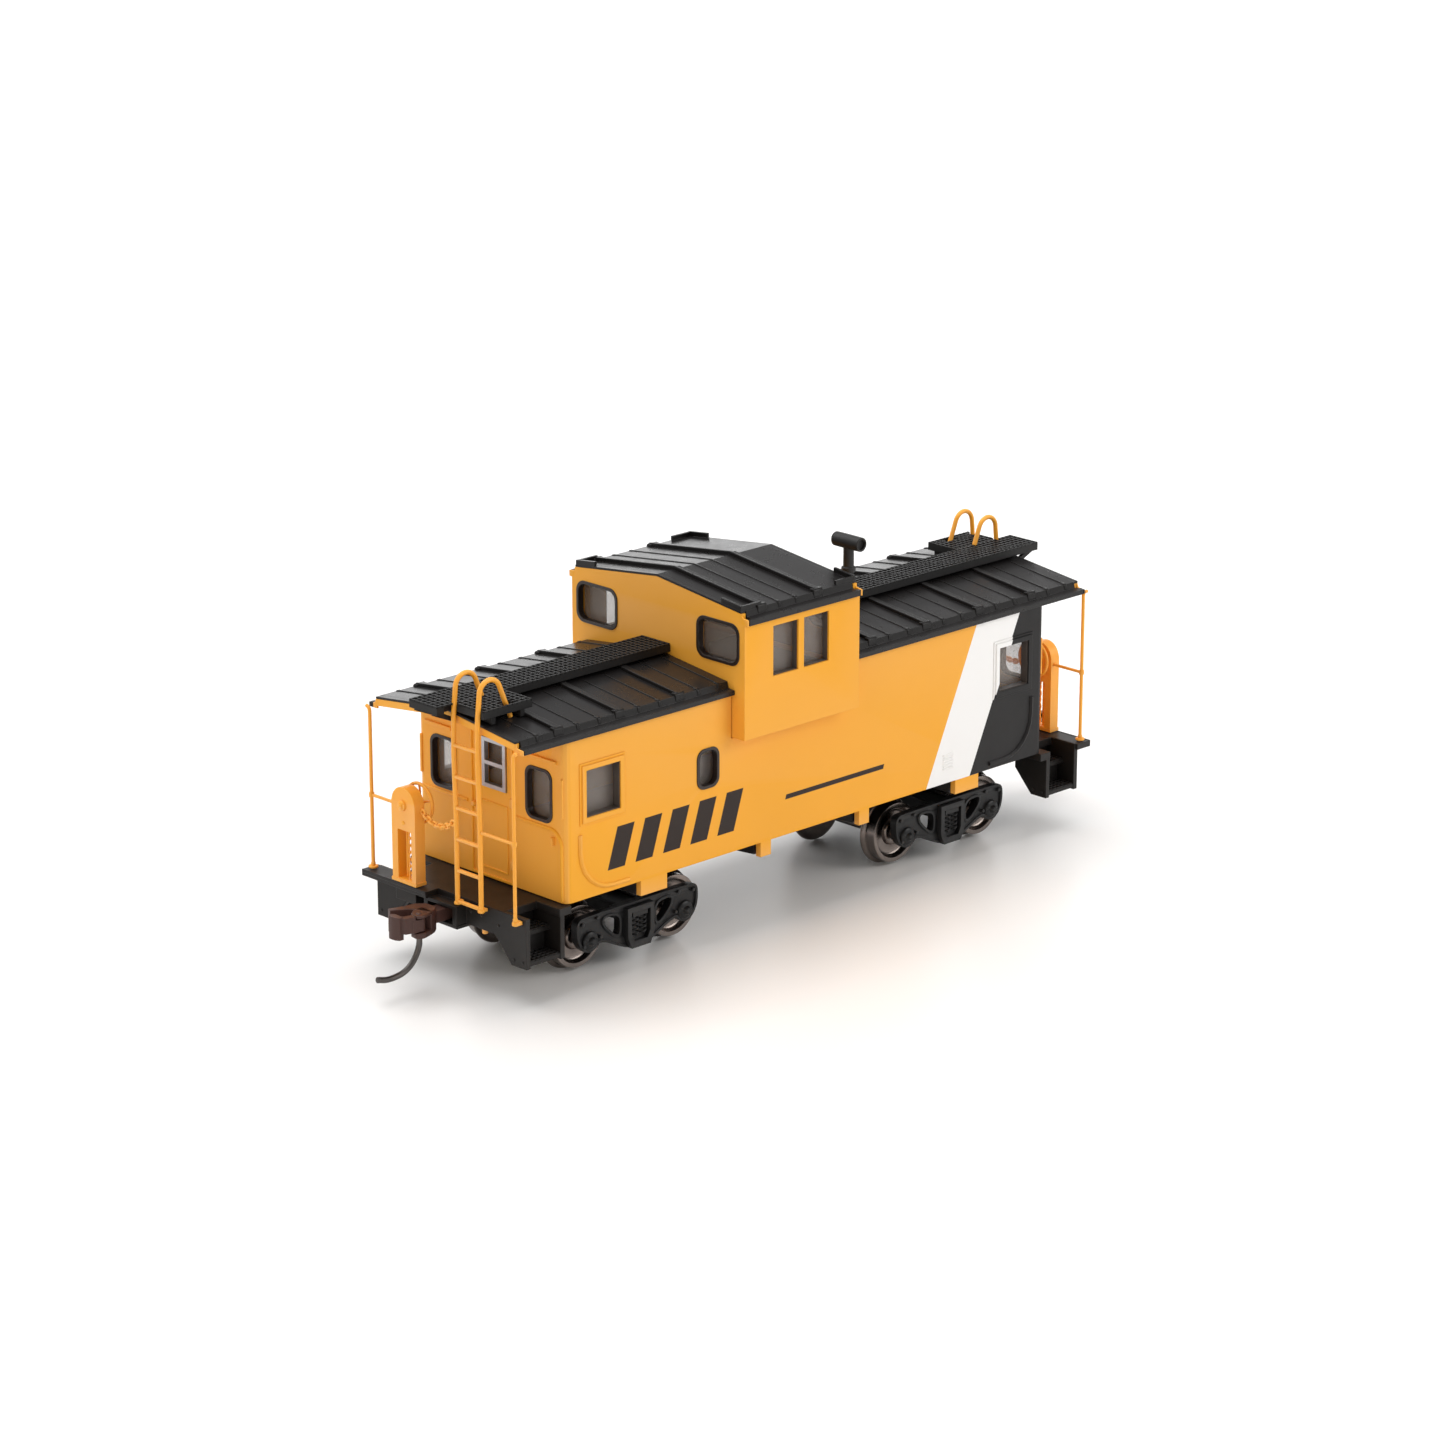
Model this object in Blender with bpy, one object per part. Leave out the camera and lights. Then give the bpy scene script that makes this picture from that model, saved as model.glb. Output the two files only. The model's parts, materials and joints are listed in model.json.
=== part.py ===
"""HO scale wide-vision caboose: a snap-together plastic railway model on two swivelling trucks.

X runs along the car, Y across it and Z up. The wheel flanges stand on Z = 0 and the car is centred on
X = Y = 0. The sizes below are in millimetres and MM turns them into metres. The two ends are the same
moulding turned half a turn about Z, so every end piece is drawn once for the -X end and turned for the
+X end.
"""

import math

import bmesh
import bpy
from mathutils import Matrix, Vector

MM = 0.001

# Running gear
FLANGE_RADIUS = 5.45
TREAD_RADIUS = 4.85
WHEEL_BORE = 1.22
WHEEL_BACK = 7.2
WHEEL_WIDTH = 2.8
WHEEL_STEPS = 20
AXLE_RADIUS = 1.15
JOURNAL_RADIUS = 0.65
JOURNAL_BORE = 0.73
AXLE_HALF = 12.2
TRUCK_X = 34.0
WHEELBASE = 19.4
SIDE_FRAME_INNER = 11.4
SIDE_FRAME_OUTER = 12.7
SIDE_FRAME_TOP = 9.4
BOLSTER_TOP = 9.2

# Body and frame
BODY_HALF_LENGTH = 51.6
BODY_HALF_WIDTH = 16.2
WALL = 1.2
BODY_BOTTOM = 13.95
FIT = 0.15
WALL_TOP = 38.95
DECK_TOP = 13.8
DECK_THICKNESS = 1.2
DECK_HALF_LENGTH = 59.9
DECK_HALF_WIDTH = 16.6
SILL_BOTTOM = 9.9
FLOOR_BOTTOM = 13.7
FLOOR_TOP = 14.85

# Roof: a low gable, with its ridge on the centre line
PITCH = 0.12
ROOF_HALF_LENGTH = 60.4
ROOF_EDGE_Y = 15.35
ROOF_EDGE_Z = 40.65
ROOF_THICKNESS = 0.65
CEILING = 0.6
EAVE_Y = 16.93
EAVE_BOTTOM = 38.85
RIB_HEIGHT = 0.4
END_LIP = 0.3
EAVE_PLATE = 0.3

# Cupola
CUPOLA_NEAR = -17.9
CUPOLA_FAR = 6.5
CUPOLA_HALF_WIDTH = 18.87
CUPOLA_BOTTOM = 32.05
CUPOLA_EDGE_Y = 18.1
CUPOLA_EDGE_Z = 51.95
CUPOLA_EAVE_Y = 19.5
CUPOLA_EAVE_BOTTOM = 49.95

# End fittings, for the -X end
WALK_TOP = 43.75
WALK_THICKNESS = 1.1
WALK_HALF_WIDTH = 3.05
WALK_END = 64.4
LADDER_X = -61.0
LADDER_STILES = (-2.95, -8.15)
LADDER_FOOT = 13.1
RUNG_FIRST = 13.55
RUNG_PITCH = 4.82
RUNGS = 6
POST_X = -61.0
POST_RADIUS = 0.38
POST_Y = {1: 16.1, -1: 15.55}
RAIL_Z = 25.4
STAND_Y = (4.85, 10.1)
STAND_X = (-62.3, -60.4)
STAND_TOP = 28.8
BRAKE_WHEEL_RADIUS = 3.25
BRAKE_WHEEL_Y = 6.95
BRAKE_WHEEL_Z = 26.0
COUPLER_Z = 11.2
LID_BOTTOM = 9.4
POCKET_BOTTOM = 10.05
COUPLER_PIVOT_X = -54.5
COUPLER_FACE_X = -71.3
KNUCKLE_PIVOT = (-67.4, -1.7)
HEAD_BOTTOM = 9.3
HEAD_TOP = 12.85
TRIP_PIN_Y = 0.0
TRIP_PIN = (
    (-66.0, 11.4),
    (-66.0, 8.0),
    (-66.2, 6.8),
    (-66.7, 5.75),
    (-67.55, 4.7),
    (-68.75, 3.9),
    (-70.2, 3.5),
    (-72.2, 3.42),
    (-74.1, 3.85),
)

YELLOW = (0.85, 0.50, 0.12, 1.0)
BLACK = (0.03, 0.03, 0.03, 1.0)
COUPLER_BROWN = (0.13, 0.06, 0.045, 1.0)
STEEL = (0.35, 0.33, 0.31, 1.0)
WHEEL_METAL = (0.32, 0.29, 0.27, 1.0)
CLEAR = (0.75, 0.74, 0.72, 1.0)
SILVER = (0.72, 0.72, 0.74, 1.0)
PIN_METAL = (0.12, 0.11, 0.10, 1.0)

NEAR = "near"
FAR = "far"
ENDS = (NEAR, FAR)


# ---------------------------------------------------------------- scene, materials and mesh helpers

def clear_scene():
    for obj in list(bpy.data.objects):
        bpy.data.objects.remove(obj, do_unlink=True)


def material(name, colour, roughness, metallic=0.0):
    found = bpy.data.materials.get(name)
    if found:
        return found
    made = bpy.data.materials.new(name)
    made.use_nodes = True
    shader = made.node_tree.nodes["Principled BSDF"]
    shader.inputs["Base Color"].default_value = colour
    shader.inputs["Roughness"].default_value = roughness
    shader.inputs["Metallic"].default_value = metallic
    return made


def new_object(name, mesh_builder, paint, parent=None):
    """One object from a bmesh in millimetres."""
    mesh_builder.normal_update()
    bmesh.ops.recalc_face_normals(mesh_builder, faces=mesh_builder.faces)
    mesh_builder.transform(Matrix.Scale(MM, 4))
    mesh = bpy.data.meshes.new(name)
    mesh_builder.to_mesh(mesh)
    mesh_builder.free()
    mesh.materials.append(paint)
    obj = bpy.data.objects.new(name, mesh)
    bpy.context.scene.collection.objects.link(obj)
    if parent:
        obj.parent = parent
        obj.matrix_parent_inverse = parent.matrix_world.inverted()
    return obj


def half_turn(builder):
    """Turns the -X end's geometry to the +X end."""
    builder.transform(Matrix.Rotation(math.pi, 4, "Z"))
    return builder


def at_end(builder, end):
    return half_turn(builder) if end == FAR else builder


def box(x, y, z):
    """A block between the two values given for each axis."""
    builder = bmesh.new()
    bmesh.ops.create_cube(builder, size=1.0)
    size = Vector((x[1] - x[0], y[1] - y[0], z[1] - z[0]))
    centre = Vector(((x[0] + x[1]) / 2, (y[0] + y[1]) / 2, (z[0] + z[1]) / 2))
    builder.transform(Matrix.Translation(centre) @ Matrix.Diagonal(size.to_4d()))
    return builder


def prism(outline, axis, low, high):
    """An outline extruded along an axis. Its points are (y, z), (x, z) or (x, y) for axis x, y or z."""
    place = {
        "x": lambda a, b, c: (c, a, b),
        "y": lambda a, b, c: (a, c, b),
        "z": lambda a, b, c: (a, b, c),
    }[axis]
    builder = bmesh.new()
    face = builder.faces.new([builder.verts.new(place(a, b, low)) for a, b in outline])
    grown = bmesh.ops.extrude_face_region(builder, geom=[face])
    moved = [item for item in grown["geom"] if isinstance(item, bmesh.types.BMVert)]
    bmesh.ops.translate(builder, verts=moved, vec=Vector(place(0.0, 0.0, high - low)))
    return builder


ALONG = {
    "x": Matrix.Rotation(math.pi / 2, 4, "Y"),
    "y": Matrix.Rotation(-math.pi / 2, 4, "X"),
    "z": Matrix(),
}


def turned(profile, axis, centre, steps=16):
    """A closed profile of (radius, along) points turned about a line through centre."""
    builder = bmesh.new()
    rings = []
    for step in range(steps):
        angle = 2 * math.pi * step / steps
        ring = [builder.verts.new((r * math.cos(angle), r * math.sin(angle), along)) for r, along in profile]
        rings.append(ring)
    count = len(profile)
    for step in range(steps):
        here, there = rings[step], rings[(step + 1) % steps]
        for index in range(count):
            after = (index + 1) % count
            builder.faces.new((here[index], there[index], there[after], here[after]))
    builder.transform(Matrix.Translation(Vector(centre)) @ ALONG[axis])
    return builder


def rod(radius, axis, centre, low, high, steps=12):
    """A solid round rod. The two end values are measured along its axis from centre."""
    builder = bmesh.new()
    bmesh.ops.create_cone(
        builder, cap_ends=True, segments=steps, radius1=radius, radius2=radius, depth=high - low
    )
    middle = Matrix.Translation(Vector((0, 0, (low + high) / 2)))
    builder.transform(Matrix.Translation(Vector(centre)) @ ALONG[axis] @ middle)
    return builder


def arc(centre, radius, start, end, steps):
    """Points of an arc in a plane, from one angle in degrees to another."""
    points = []
    for step in range(steps + 1):
        angle = math.radians(start + (end - start) * step / steps)
        points.append((centre[0] + radius * math.cos(angle), centre[1] + radius * math.sin(angle)))
    return points


def rounded_rectangle(a, b, radius, steps=3):
    """The outline between two opposite corners, with round corners."""
    (a0, a1), (b0, b1) = a, b
    return (
        arc((a1 - radius, b0 + radius), radius, -90, 0, steps)
        + arc((a1 - radius, b1 - radius), radius, 0, 90, steps)
        + arc((a0 + radius, b1 - radius), radius, 90, 180, steps)
        + arc((a0 + radius, b0 + radius), radius, 180, 270, steps)
    )


def swept(points, radius, sides=8):
    """A round bar along a line of points, closed at both ends."""
    builder = bmesh.new()
    path = [Vector(point) for point in points]
    tangents = []
    for index, point in enumerate(path):
        before = path[max(index - 1, 0)]
        after = path[min(index + 1, len(path) - 1)]
        tangents.append((after - before).normalized())
    side = tangents[0].orthogonal().normalized()
    rings = []
    for index, point in enumerate(path):
        tangent = tangents[index]
        side = (side - side.dot(tangent) * tangent).normalized()
        up = tangent.cross(side)
        ring = []
        for corner in range(sides):
            angle = 2 * math.pi * (corner + 0.5) / sides
            offset = math.cos(angle) * side + math.sin(angle) * up
            ring.append(builder.verts.new(point + radius * offset))
        rings.append(ring)
    for here, there in zip(rings, rings[1:]):
        for corner in range(sides):
            after = (corner + 1) % sides
            builder.faces.new((here[corner], here[after], there[after], there[corner]))
    builder.faces.new(rings[0][::-1])
    builder.faces.new(rings[-1])
    return builder


def tool_collection(name, builders):
    """Hidden helper solids for one Boolean."""
    group = bpy.data.collections.new(name)
    bpy.context.scene.collection.children.link(group)
    for number, builder in enumerate(builders):
        obj = new_object(f"{name}_{number}", builder, material("helper", BLACK, 0.5))
        bpy.context.scene.collection.objects.unlink(obj)
        group.objects.link(obj)
        obj.hide_render = True
        obj.display_type = "WIRE"
    return group


def combine(obj, operation, builders):
    """Adds one Boolean modifier for each helper solid."""
    group = tool_collection(f"{obj.name}_{operation.lower()}_{len(obj.modifiers)}", builders)
    for tool in group.objects:
        modifier = obj.modifiers.new(tool.name, "BOOLEAN")
        modifier.operation = operation
        modifier.solver = "EXACT"
        modifier.object = tool
    return obj


def join(obj, builders):
    return combine(obj, "UNION", builders)


def cut(obj, builders):
    return combine(obj, "DIFFERENCE", builders)


def smooth(obj, degrees=35):
    obj.data.shade_smooth()
    obj.data.set_sharp_from_angle(angle=math.radians(degrees))
    return obj


def both_sides(low, high):
    """The same pair of lateral limits on each side of the centre line."""
    return ((low, high), (-high, -low))


def roof_z(y, edge_y=ROOF_EDGE_Y, edge_z=ROOF_EDGE_Z):
    return edge_z + PITCH * (edge_y - abs(y))


def empty(name, x, y, z):
    guide = bpy.data.objects.new(name, None)
    guide.location = Vector((x, y, z)) * MM
    bpy.context.scene.collection.objects.link(guide)
    bpy.context.view_layer.update()
    return guide


# ---------------------------------------------------------------- underframe

def step_well(side):
    """The two tapered plates and the two treads of one flight of steps, at the -X end."""
    inner_y, slant_y, outer_y = 9.85, 13.4, DECK_HALF_WIDTH
    top, bottom = DECK_TOP - 0.02, 6.1
    plate = [
        (side * inner_y, SILL_BOTTOM),
        (side * slant_y, bottom),
        (side * outer_y, bottom),
        (side * outer_y, top),
        (side * inner_y, top),
    ]
    tread_ends = (-DECK_HALF_LENGTH + 0.4, -52.8)
    lower_y = sorted((side * 12.9, side * (outer_y - 0.1)))
    upper_y = sorted((side * 10.3, side * 14.2))
    return [
        prism(plate, "x", -DECK_HALF_LENGTH, -DECK_HALF_LENGTH + 0.8),
        prism(plate, "x", -53.2, -52.4),
        box(tread_ends, lower_y, (6.4, 7.0)),
        box(tread_ends, upper_y, (10.1, 10.7)),
    ]


def underframe():
    paint = material("frame_black", BLACK, 0.5)
    deck_bottom = DECK_TOP - DECK_THICKNESS
    floor_x = BODY_HALF_LENGTH - WALL - FIT
    floor_y = BODY_HALF_WIDTH - WALL - FIT
    floor = box((-floor_x, floor_x), (-floor_y, floor_y), (FLOOR_BOTTOM, FLOOR_TOP))
    frame = new_object("underframe", floor, paint)
    shapes = []
    for end in ENDS:
        parts = [
            box((-DECK_HALF_LENGTH, -50.0), (-11.6, 11.6), (deck_bottom - 0.01, DECK_TOP)),
            box((-51.0, -46.0), (-9.0, 9.0), (deck_bottom, DECK_TOP - 0.03)),
            box((-DECK_HALF_LENGTH, -DECK_HALF_LENGTH + 0.9), (-10.2, 10.2), (SILL_BOTTOM, 13.2)),
            box((-53.3, -51.0), (-DECK_HALF_WIDTH, DECK_HALF_WIDTH), (deck_bottom + 0.02, DECK_TOP - 0.01)),
            box((-62.4, -59.3), (2.6, 17.1), (12.85, DECK_TOP + 0.01)),
            box((-62.0, -59.5), (5.3, 9.8), (11.0, 13.0)),
            box((-61.9, -50.5), (-3.6, 3.6), (COUPLER_Z + 1.1, 12.95)),
        ]
        for wall_y in both_sides(2.7, 3.6):
            parts.append(box((-61.9, -50.5), wall_y, (POCKET_BOTTOM, 12.7)))
        parts.append(box((-51.4, -50.5), (-3.6, 3.6), (POCKET_BOTTOM, 12.7)))
        for side in (1, -1):
            parts += step_well(side)
        shapes += [at_end(part, end) for part in parts]
    sill_top = FLOOR_BOTTOM + 0.1
    shapes.append(box((-50.8, 50.8), (-1.6, 1.6), (11.2, sill_top)))
    for x in (-TRUCK_X, TRUCK_X):
        shapes.append(box((x - 2.4, x + 2.4), (-14.7, 14.7), (11.4, sill_top + 0.02)))
        shapes.append(rod(3.0, "z", (x, 0, 0), BOLSTER_TOP + 0.12, sill_top - 0.02, steps=20))
    for x in (-10.7, 10.7):
        bearer = [(-14.7, 11.7), (-5.0, 10.9), (5.0, 10.9), (14.7, 11.7), (14.7, sill_top), (-14.7, sill_top)]
        shapes.append(prism(bearer, "x", x - 1.05, x + 1.05))
    join(frame, shapes)
    pocket = box((-63.5, -51.3), (-2.76, 2.76), (SILL_BOTTOM - 0.3, COUPLER_Z + 1.2))
    cut(frame, [at_end(pocket.copy(), end) for end in ENDS])
    pocket.free()
    posts = (COUPLER_PIVOT_X, -COUPLER_PIVOT_X)
    join(frame, [rod(1.0, "z", (x, 0, 0), POCKET_BOTTOM + 0.05, 12.5) for x in posts])
    holes = [rod(0.85, "z", (x, 0, 0), 8.0, 12.9) for x in (-TRUCK_X, TRUCK_X)]
    holes += [rod(0.45, "z", (x, 0, 0), 9.0, 12.1, steps=10) for x in posts]
    cut(frame, holes)


def ballast_weight():
    paint = material("ballast_steel", STEEL, 0.45, 0.9)
    bottom = FLOOR_TOP + FIT
    weight = new_object("ballast_weight", box((-44, 44), (-12.5, 12.5), (bottom, bottom + 2.6)), paint)
    cut(weight, [rod(3.2, "z", (x, 0, 0), 12, 19) for x in (-TRUCK_X, TRUCK_X)])


# ---------------------------------------------------------------- body shell

SIDE_WINDOWS = ((-47.7, -40.9), (40.9, 47.7))
SIDE_WINDOW_Z = (26.45, 33.7)
OVAL_WINDOW_X = (-25.1, -20.7)
OVAL_WINDOW_Z = (25.3, 31.45)
END_WINDOW_Y = (7.75, 13.35)
END_WINDOW_Z = (25.7, 33.6)
DOOR_WINDOW_Y = (-3.55, 1.75)
DOOR_WINDOW_Z = (28.1, 35.9)
SKIRTS = ((-36.7, -31.35), (-11.8, -9.6), (9.6, 11.8), (31.35, 36.7))
SKIRT_BOTTOM = 11.6
SEAT_Y = 14.15


def ring_walls():
    """Four walls with rounded outer corners, open at the bottom and the top."""
    outer = rounded_rectangle(
        (-BODY_HALF_LENGTH, BODY_HALF_LENGTH), (-BODY_HALF_WIDTH, BODY_HALF_WIDTH), 1.0, steps=3
    )
    return prism(outer, "z", BODY_BOTTOM, 42.0)


def gable(edge_y, edge_z, width, bottom):
    """The outline of a low gable of the given half width above a flat bottom."""
    edge = roof_z(width, edge_y, edge_z)
    ridge = roof_z(0.0, edge_y, edge_z)
    return [(-width, bottom), (width, bottom), (width, edge), (0.0, ridge), (-width, edge)]


def chevron(width, edge_z, depth, edge_y=ROOF_EDGE_Y):
    """A gable-shaped strip of even depth. edge_z is the height of the roof's own edge line."""
    top = [(y, roof_z(y, edge_y, edge_z)) for y in (-width, 0.0, width)]
    return top + [(y, z - depth) for y, z in reversed(top)]


def eave_end(side, edge_y, edge_z, eave_y, eave_bottom, wall_y):
    """The outline of the yellow plate that closes the end of an eave."""
    points = [
        (wall_y - 1.1, eave_bottom),
        (eave_y - 0.03, eave_bottom),
        (eave_y - 0.03, edge_z - 1.12),
        (edge_y + 0.22, edge_z - 0.97),
        (edge_y, edge_z - END_LIP - 0.05),
        (wall_y - 1.1, edge_z - END_LIP - 0.05),
    ]
    return [(side * y, z) for y, z in points]


def grab_ridge(side, end_sign):
    """The J-shaped ridge that stands for the side grab rail beside an end."""
    top = [(48.8, 24.0), (48.8, 21.5)]
    bend = arc((42.3, 21.4), 6.5, 0, -90, 6)
    path = top + bend[1:] + [(39.1, 14.9)]
    return swept([(end_sign * x, side * BODY_HALF_WIDTH, z) for x, z in path], 0.38, sides=6)


def window_frame(x, z, side):
    """A flat raised border round a side window."""
    border = 0.75
    y = sorted((side * (BODY_HALF_WIDTH - 0.3), side * (BODY_HALF_WIDTH + 0.35)))
    return box((x[0] - border, x[1] + border), y, (z[0] - border, z[1] + border))


def body_shell():
    paint = material("body_yellow", YELLOW, 0.45)
    shell = new_object("body_shell", ring_walls(), paint)
    inner = (BODY_HALF_LENGTH - WALL, BODY_HALF_WIDTH - WALL)
    cut(shell, [box((-inner[0], inner[0]), (-inner[1], inner[1]), (10, 50))])
    additions = []
    for side in (1, -1):
        additions += [window_frame(x, SIDE_WINDOW_Z, side) for x in SIDE_WINDOWS]
        additions += [grab_ridge(side, end_sign) for end_sign in (1, -1)]
        skirt_y = sorted((side * (BODY_HALF_WIDTH - 1.0), side * (BODY_HALF_WIDTH - 0.01)))
        additions += [box(x, skirt_y, (SKIRT_BOTTOM, BODY_BOTTOM + 0.5)) for x in SKIRTS]
    for sign in (1, -1):
        additions += [canopy_slab(sign), canopy_fascia(sign)] + eave_plates(sign)
    join(shell, additions)
    cuts = [roof_seat(), cupola_gap()]
    for x in SIDE_WINDOWS:
        cuts.append(box(x, (-20, 20), SIDE_WINDOW_Z))
    cuts.append(prism(rounded_rectangle(OVAL_WINDOW_X, OVAL_WINDOW_Z, 1.3), "y", -20, 20))
    for y in both_sides(*END_WINDOW_Y):
        cuts.append(prism(rounded_rectangle(y, END_WINDOW_Z, 1.3), "x", -54, 54))
    for sign in (1, -1):
        y = sorted((sign * DOOR_WINDOW_Y[0], sign * DOOR_WINDOW_Y[1]))
        cuts.append(box(sorted((-sign * 49, -sign * 54)), y, DOOR_WINDOW_Z))
    cut(shell, cuts)


def canopy_slab(sign):
    """The thin ceiling over an end platform, just under the roof panel."""
    high = ROOF_EDGE_Z - ROOF_THICKNESS - FIT
    reach = sorted((sign * (BODY_HALF_LENGTH - 0.5), sign * (ROOF_HALF_LENGTH - 0.01)))
    return prism(chevron(14.0, high, CEILING), "x", *reach)


def canopy_fascia(sign):
    """The yellow edge that closes the end of the roof, just under the roof's own lip."""
    step = END_LIP + FIT / 2
    depth = ROOF_THICKNESS + FIT + CEILING - step
    outline = chevron(ROOF_EDGE_Y - 0.05, ROOF_EDGE_Z - step, depth)
    return prism(outline, "x", *sorted((sign * (ROOF_HALF_LENGTH - 0.8), sign * ROOF_HALF_LENGTH)))


def eave_plates(sign):
    """The thin yellow plates that close the two eaves at one end."""
    x = sorted((sign * (ROOF_HALF_LENGTH - EAVE_PLATE), sign * (ROOF_HALF_LENGTH - 0.01)))
    limits = (ROOF_EDGE_Y, ROOF_EDGE_Z, EAVE_Y, EAVE_BOTTOM, BODY_HALF_WIDTH)
    return [prism(eave_end(side, *limits), "x", *x) for side in (1, -1)]


def roof_seat():
    """The space that the roof panels take, cut from the tops of the walls."""
    under = ROOF_EDGE_Z - ROOF_THICKNESS - FIT
    low = WALL_TOP
    outline = [
        (-18, low),
        (-SEAT_Y, low),
        (-SEAT_Y, roof_z(SEAT_Y, ROOF_EDGE_Y, under)),
        (0, roof_z(0, ROOF_EDGE_Y, under)),
        (SEAT_Y, roof_z(SEAT_Y, ROOF_EDGE_Y, under)),
        (SEAT_Y, low),
        (18, low),
        (18, 50),
        (-18, 50),
    ]
    return prism(outline, "x", -(ROOF_HALF_LENGTH - 0.8), ROOF_HALF_LENGTH - 0.8)


def cupola_gap():
    return box((CUPOLA_NEAR - FIT, CUPOLA_FAR + FIT), (-20, 20), (CUPOLA_BOTTOM - FIT, 60))


# ---------------------------------------------------------------- cupola shell

CUPOLA_SIDE_WINDOWS = ((-11.9, -6.6), (-5.4, -0.1))
CUPOLA_SIDE_WINDOW_Z = (40.9, 48.7)
CUPOLA_END_WINDOW_Y = (8.9, 17.6)
CUPOLA_END_WINDOW_Z = (43.4, 49.6)
CUPOLA_SEAM = 0.8


def cupola_shell():
    paint = material("body_yellow", YELLOW, 0.45)
    x = (CUPOLA_NEAR, CUPOLA_FAR)
    gable_z = CUPOLA_EDGE_Z - END_LIP - FIT / 2
    outline = gable(CUPOLA_EDGE_Y, gable_z, CUPOLA_HALF_WIDTH, CUPOLA_BOTTOM)
    shell = new_object("cupola_shell", prism(outline, "x", *x), paint)
    inside = (x[0] + WALL, x[1] - WALL)
    half = CUPOLA_HALF_WIDTH - WALL
    open_half = BODY_HALF_WIDTH - WALL
    under = CUPOLA_EDGE_Z - ROOF_THICKNESS - FIT
    seat = [
        (-21, CUPOLA_EAVE_BOTTOM + 0.1),
        (-16.9, CUPOLA_EAVE_BOTTOM + 0.1),
        (-16.9, roof_z(16.9, CUPOLA_EDGE_Y, under)),
        (0, roof_z(0, CUPOLA_EDGE_Y, under)),
        (16.9, roof_z(16.9, CUPOLA_EDGE_Y, under)),
        (16.9, CUPOLA_EAVE_BOTTOM + 0.1),
        (21, CUPOLA_EAVE_BOTTOM + 0.1),
        (21, 60),
        (-21, 60),
    ]
    cuts = [
        box(inside, (-half, half), (CUPOLA_BOTTOM + WALL, 60)),
        box(inside, (-open_half, open_half), (30, 40)),
        box((x[0] - 1, x[1] + 1), (-open_half, open_half), (30, 38.4)),
        prism(seat, "x", x[0] + CUPOLA_SEAM, x[1] - CUPOLA_SEAM),
    ]
    for side in (1, -1):
        edge_y = sorted((side * (CUPOLA_EDGE_Y + FIT), side * 21))
        cuts.append(box((x[0] - 1, x[1] + 1), edge_y, (CUPOLA_EAVE_BOTTOM + 0.1, 60)))
    for window_x in CUPOLA_SIDE_WINDOWS:
        cuts.append(box(window_x, (-22, 22), CUPOLA_SIDE_WINDOW_Z))
    for y in both_sides(*CUPOLA_END_WINDOW_Y):
        cuts.append(prism(rounded_rectangle(y, CUPOLA_END_WINDOW_Z, 1.5), "x", -22, 12))
    cut(shell, cuts)
    limits = (CUPOLA_EDGE_Y, CUPOLA_EDGE_Z, CUPOLA_EAVE_Y, CUPOLA_EAVE_BOTTOM - 0.05, CUPOLA_HALF_WIDTH)
    plates = []
    for side in (1, -1):
        for plate_x in ((x[0] + 0.01, x[0] + EAVE_PLATE), (x[1] - EAVE_PLATE, x[1] - 0.01)):
            plates.append(prism(eave_end(side, *limits), "x", *plate_x))
    join(shell, plates)


# ---------------------------------------------------------------- roofs

NEAR_RIBS = (-52.0, -39.9, -27.8)
FAR_RIBS = (13.1, 25.2, 37.3, 49.4)
CUPOLA_RIBS = (-13.6, -1.8)


def eave_profile(side, edge_y, edge_z, eave_y, eave_bottom, wall_y):
    """The stepped moulding along one eave."""
    points = [
        (edge_y - 1.0, roof_z(edge_y - 1.0, edge_y, edge_z) - 0.01),
        (edge_y, edge_z),
        (edge_y + 0.25, edge_z - 0.95),
        (eave_y, edge_z - 1.1),
        (eave_y, eave_bottom),
        (wall_y + FIT, eave_bottom),
        (wall_y + FIT, eave_bottom + 0.45),
        (edge_y - 1.0, eave_bottom + 0.45),
    ]
    return [(side * y, z) for y, z in points]


def slab_outline(edge_y, edge_z):
    top = [(-edge_y, edge_z), (0, roof_z(0, edge_y, edge_z)), (edge_y, edge_z)]
    inset = edge_y - 0.5
    low = [(inset, roof_z(inset, edge_y, edge_z) - ROOF_THICKNESS)]
    low.append((0, roof_z(0, edge_y, edge_z) - ROOF_THICKNESS))
    low.append((-inset, roof_z(inset, edge_y, edge_z) - ROOF_THICKNESS))
    return low + top


def rib_outline(edge_y, edge_z, height):
    reach = edge_y - 0.05
    edge = roof_z(reach, edge_y, edge_z)
    ridge = roof_z(0, edge_y, edge_z)
    return [
        (-reach, edge - 0.4),
        (0, ridge - 0.4),
        (reach, edge - 0.4),
        (reach, edge + height),
        (0, ridge + height),
        (-reach, edge + height),
    ]


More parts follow.
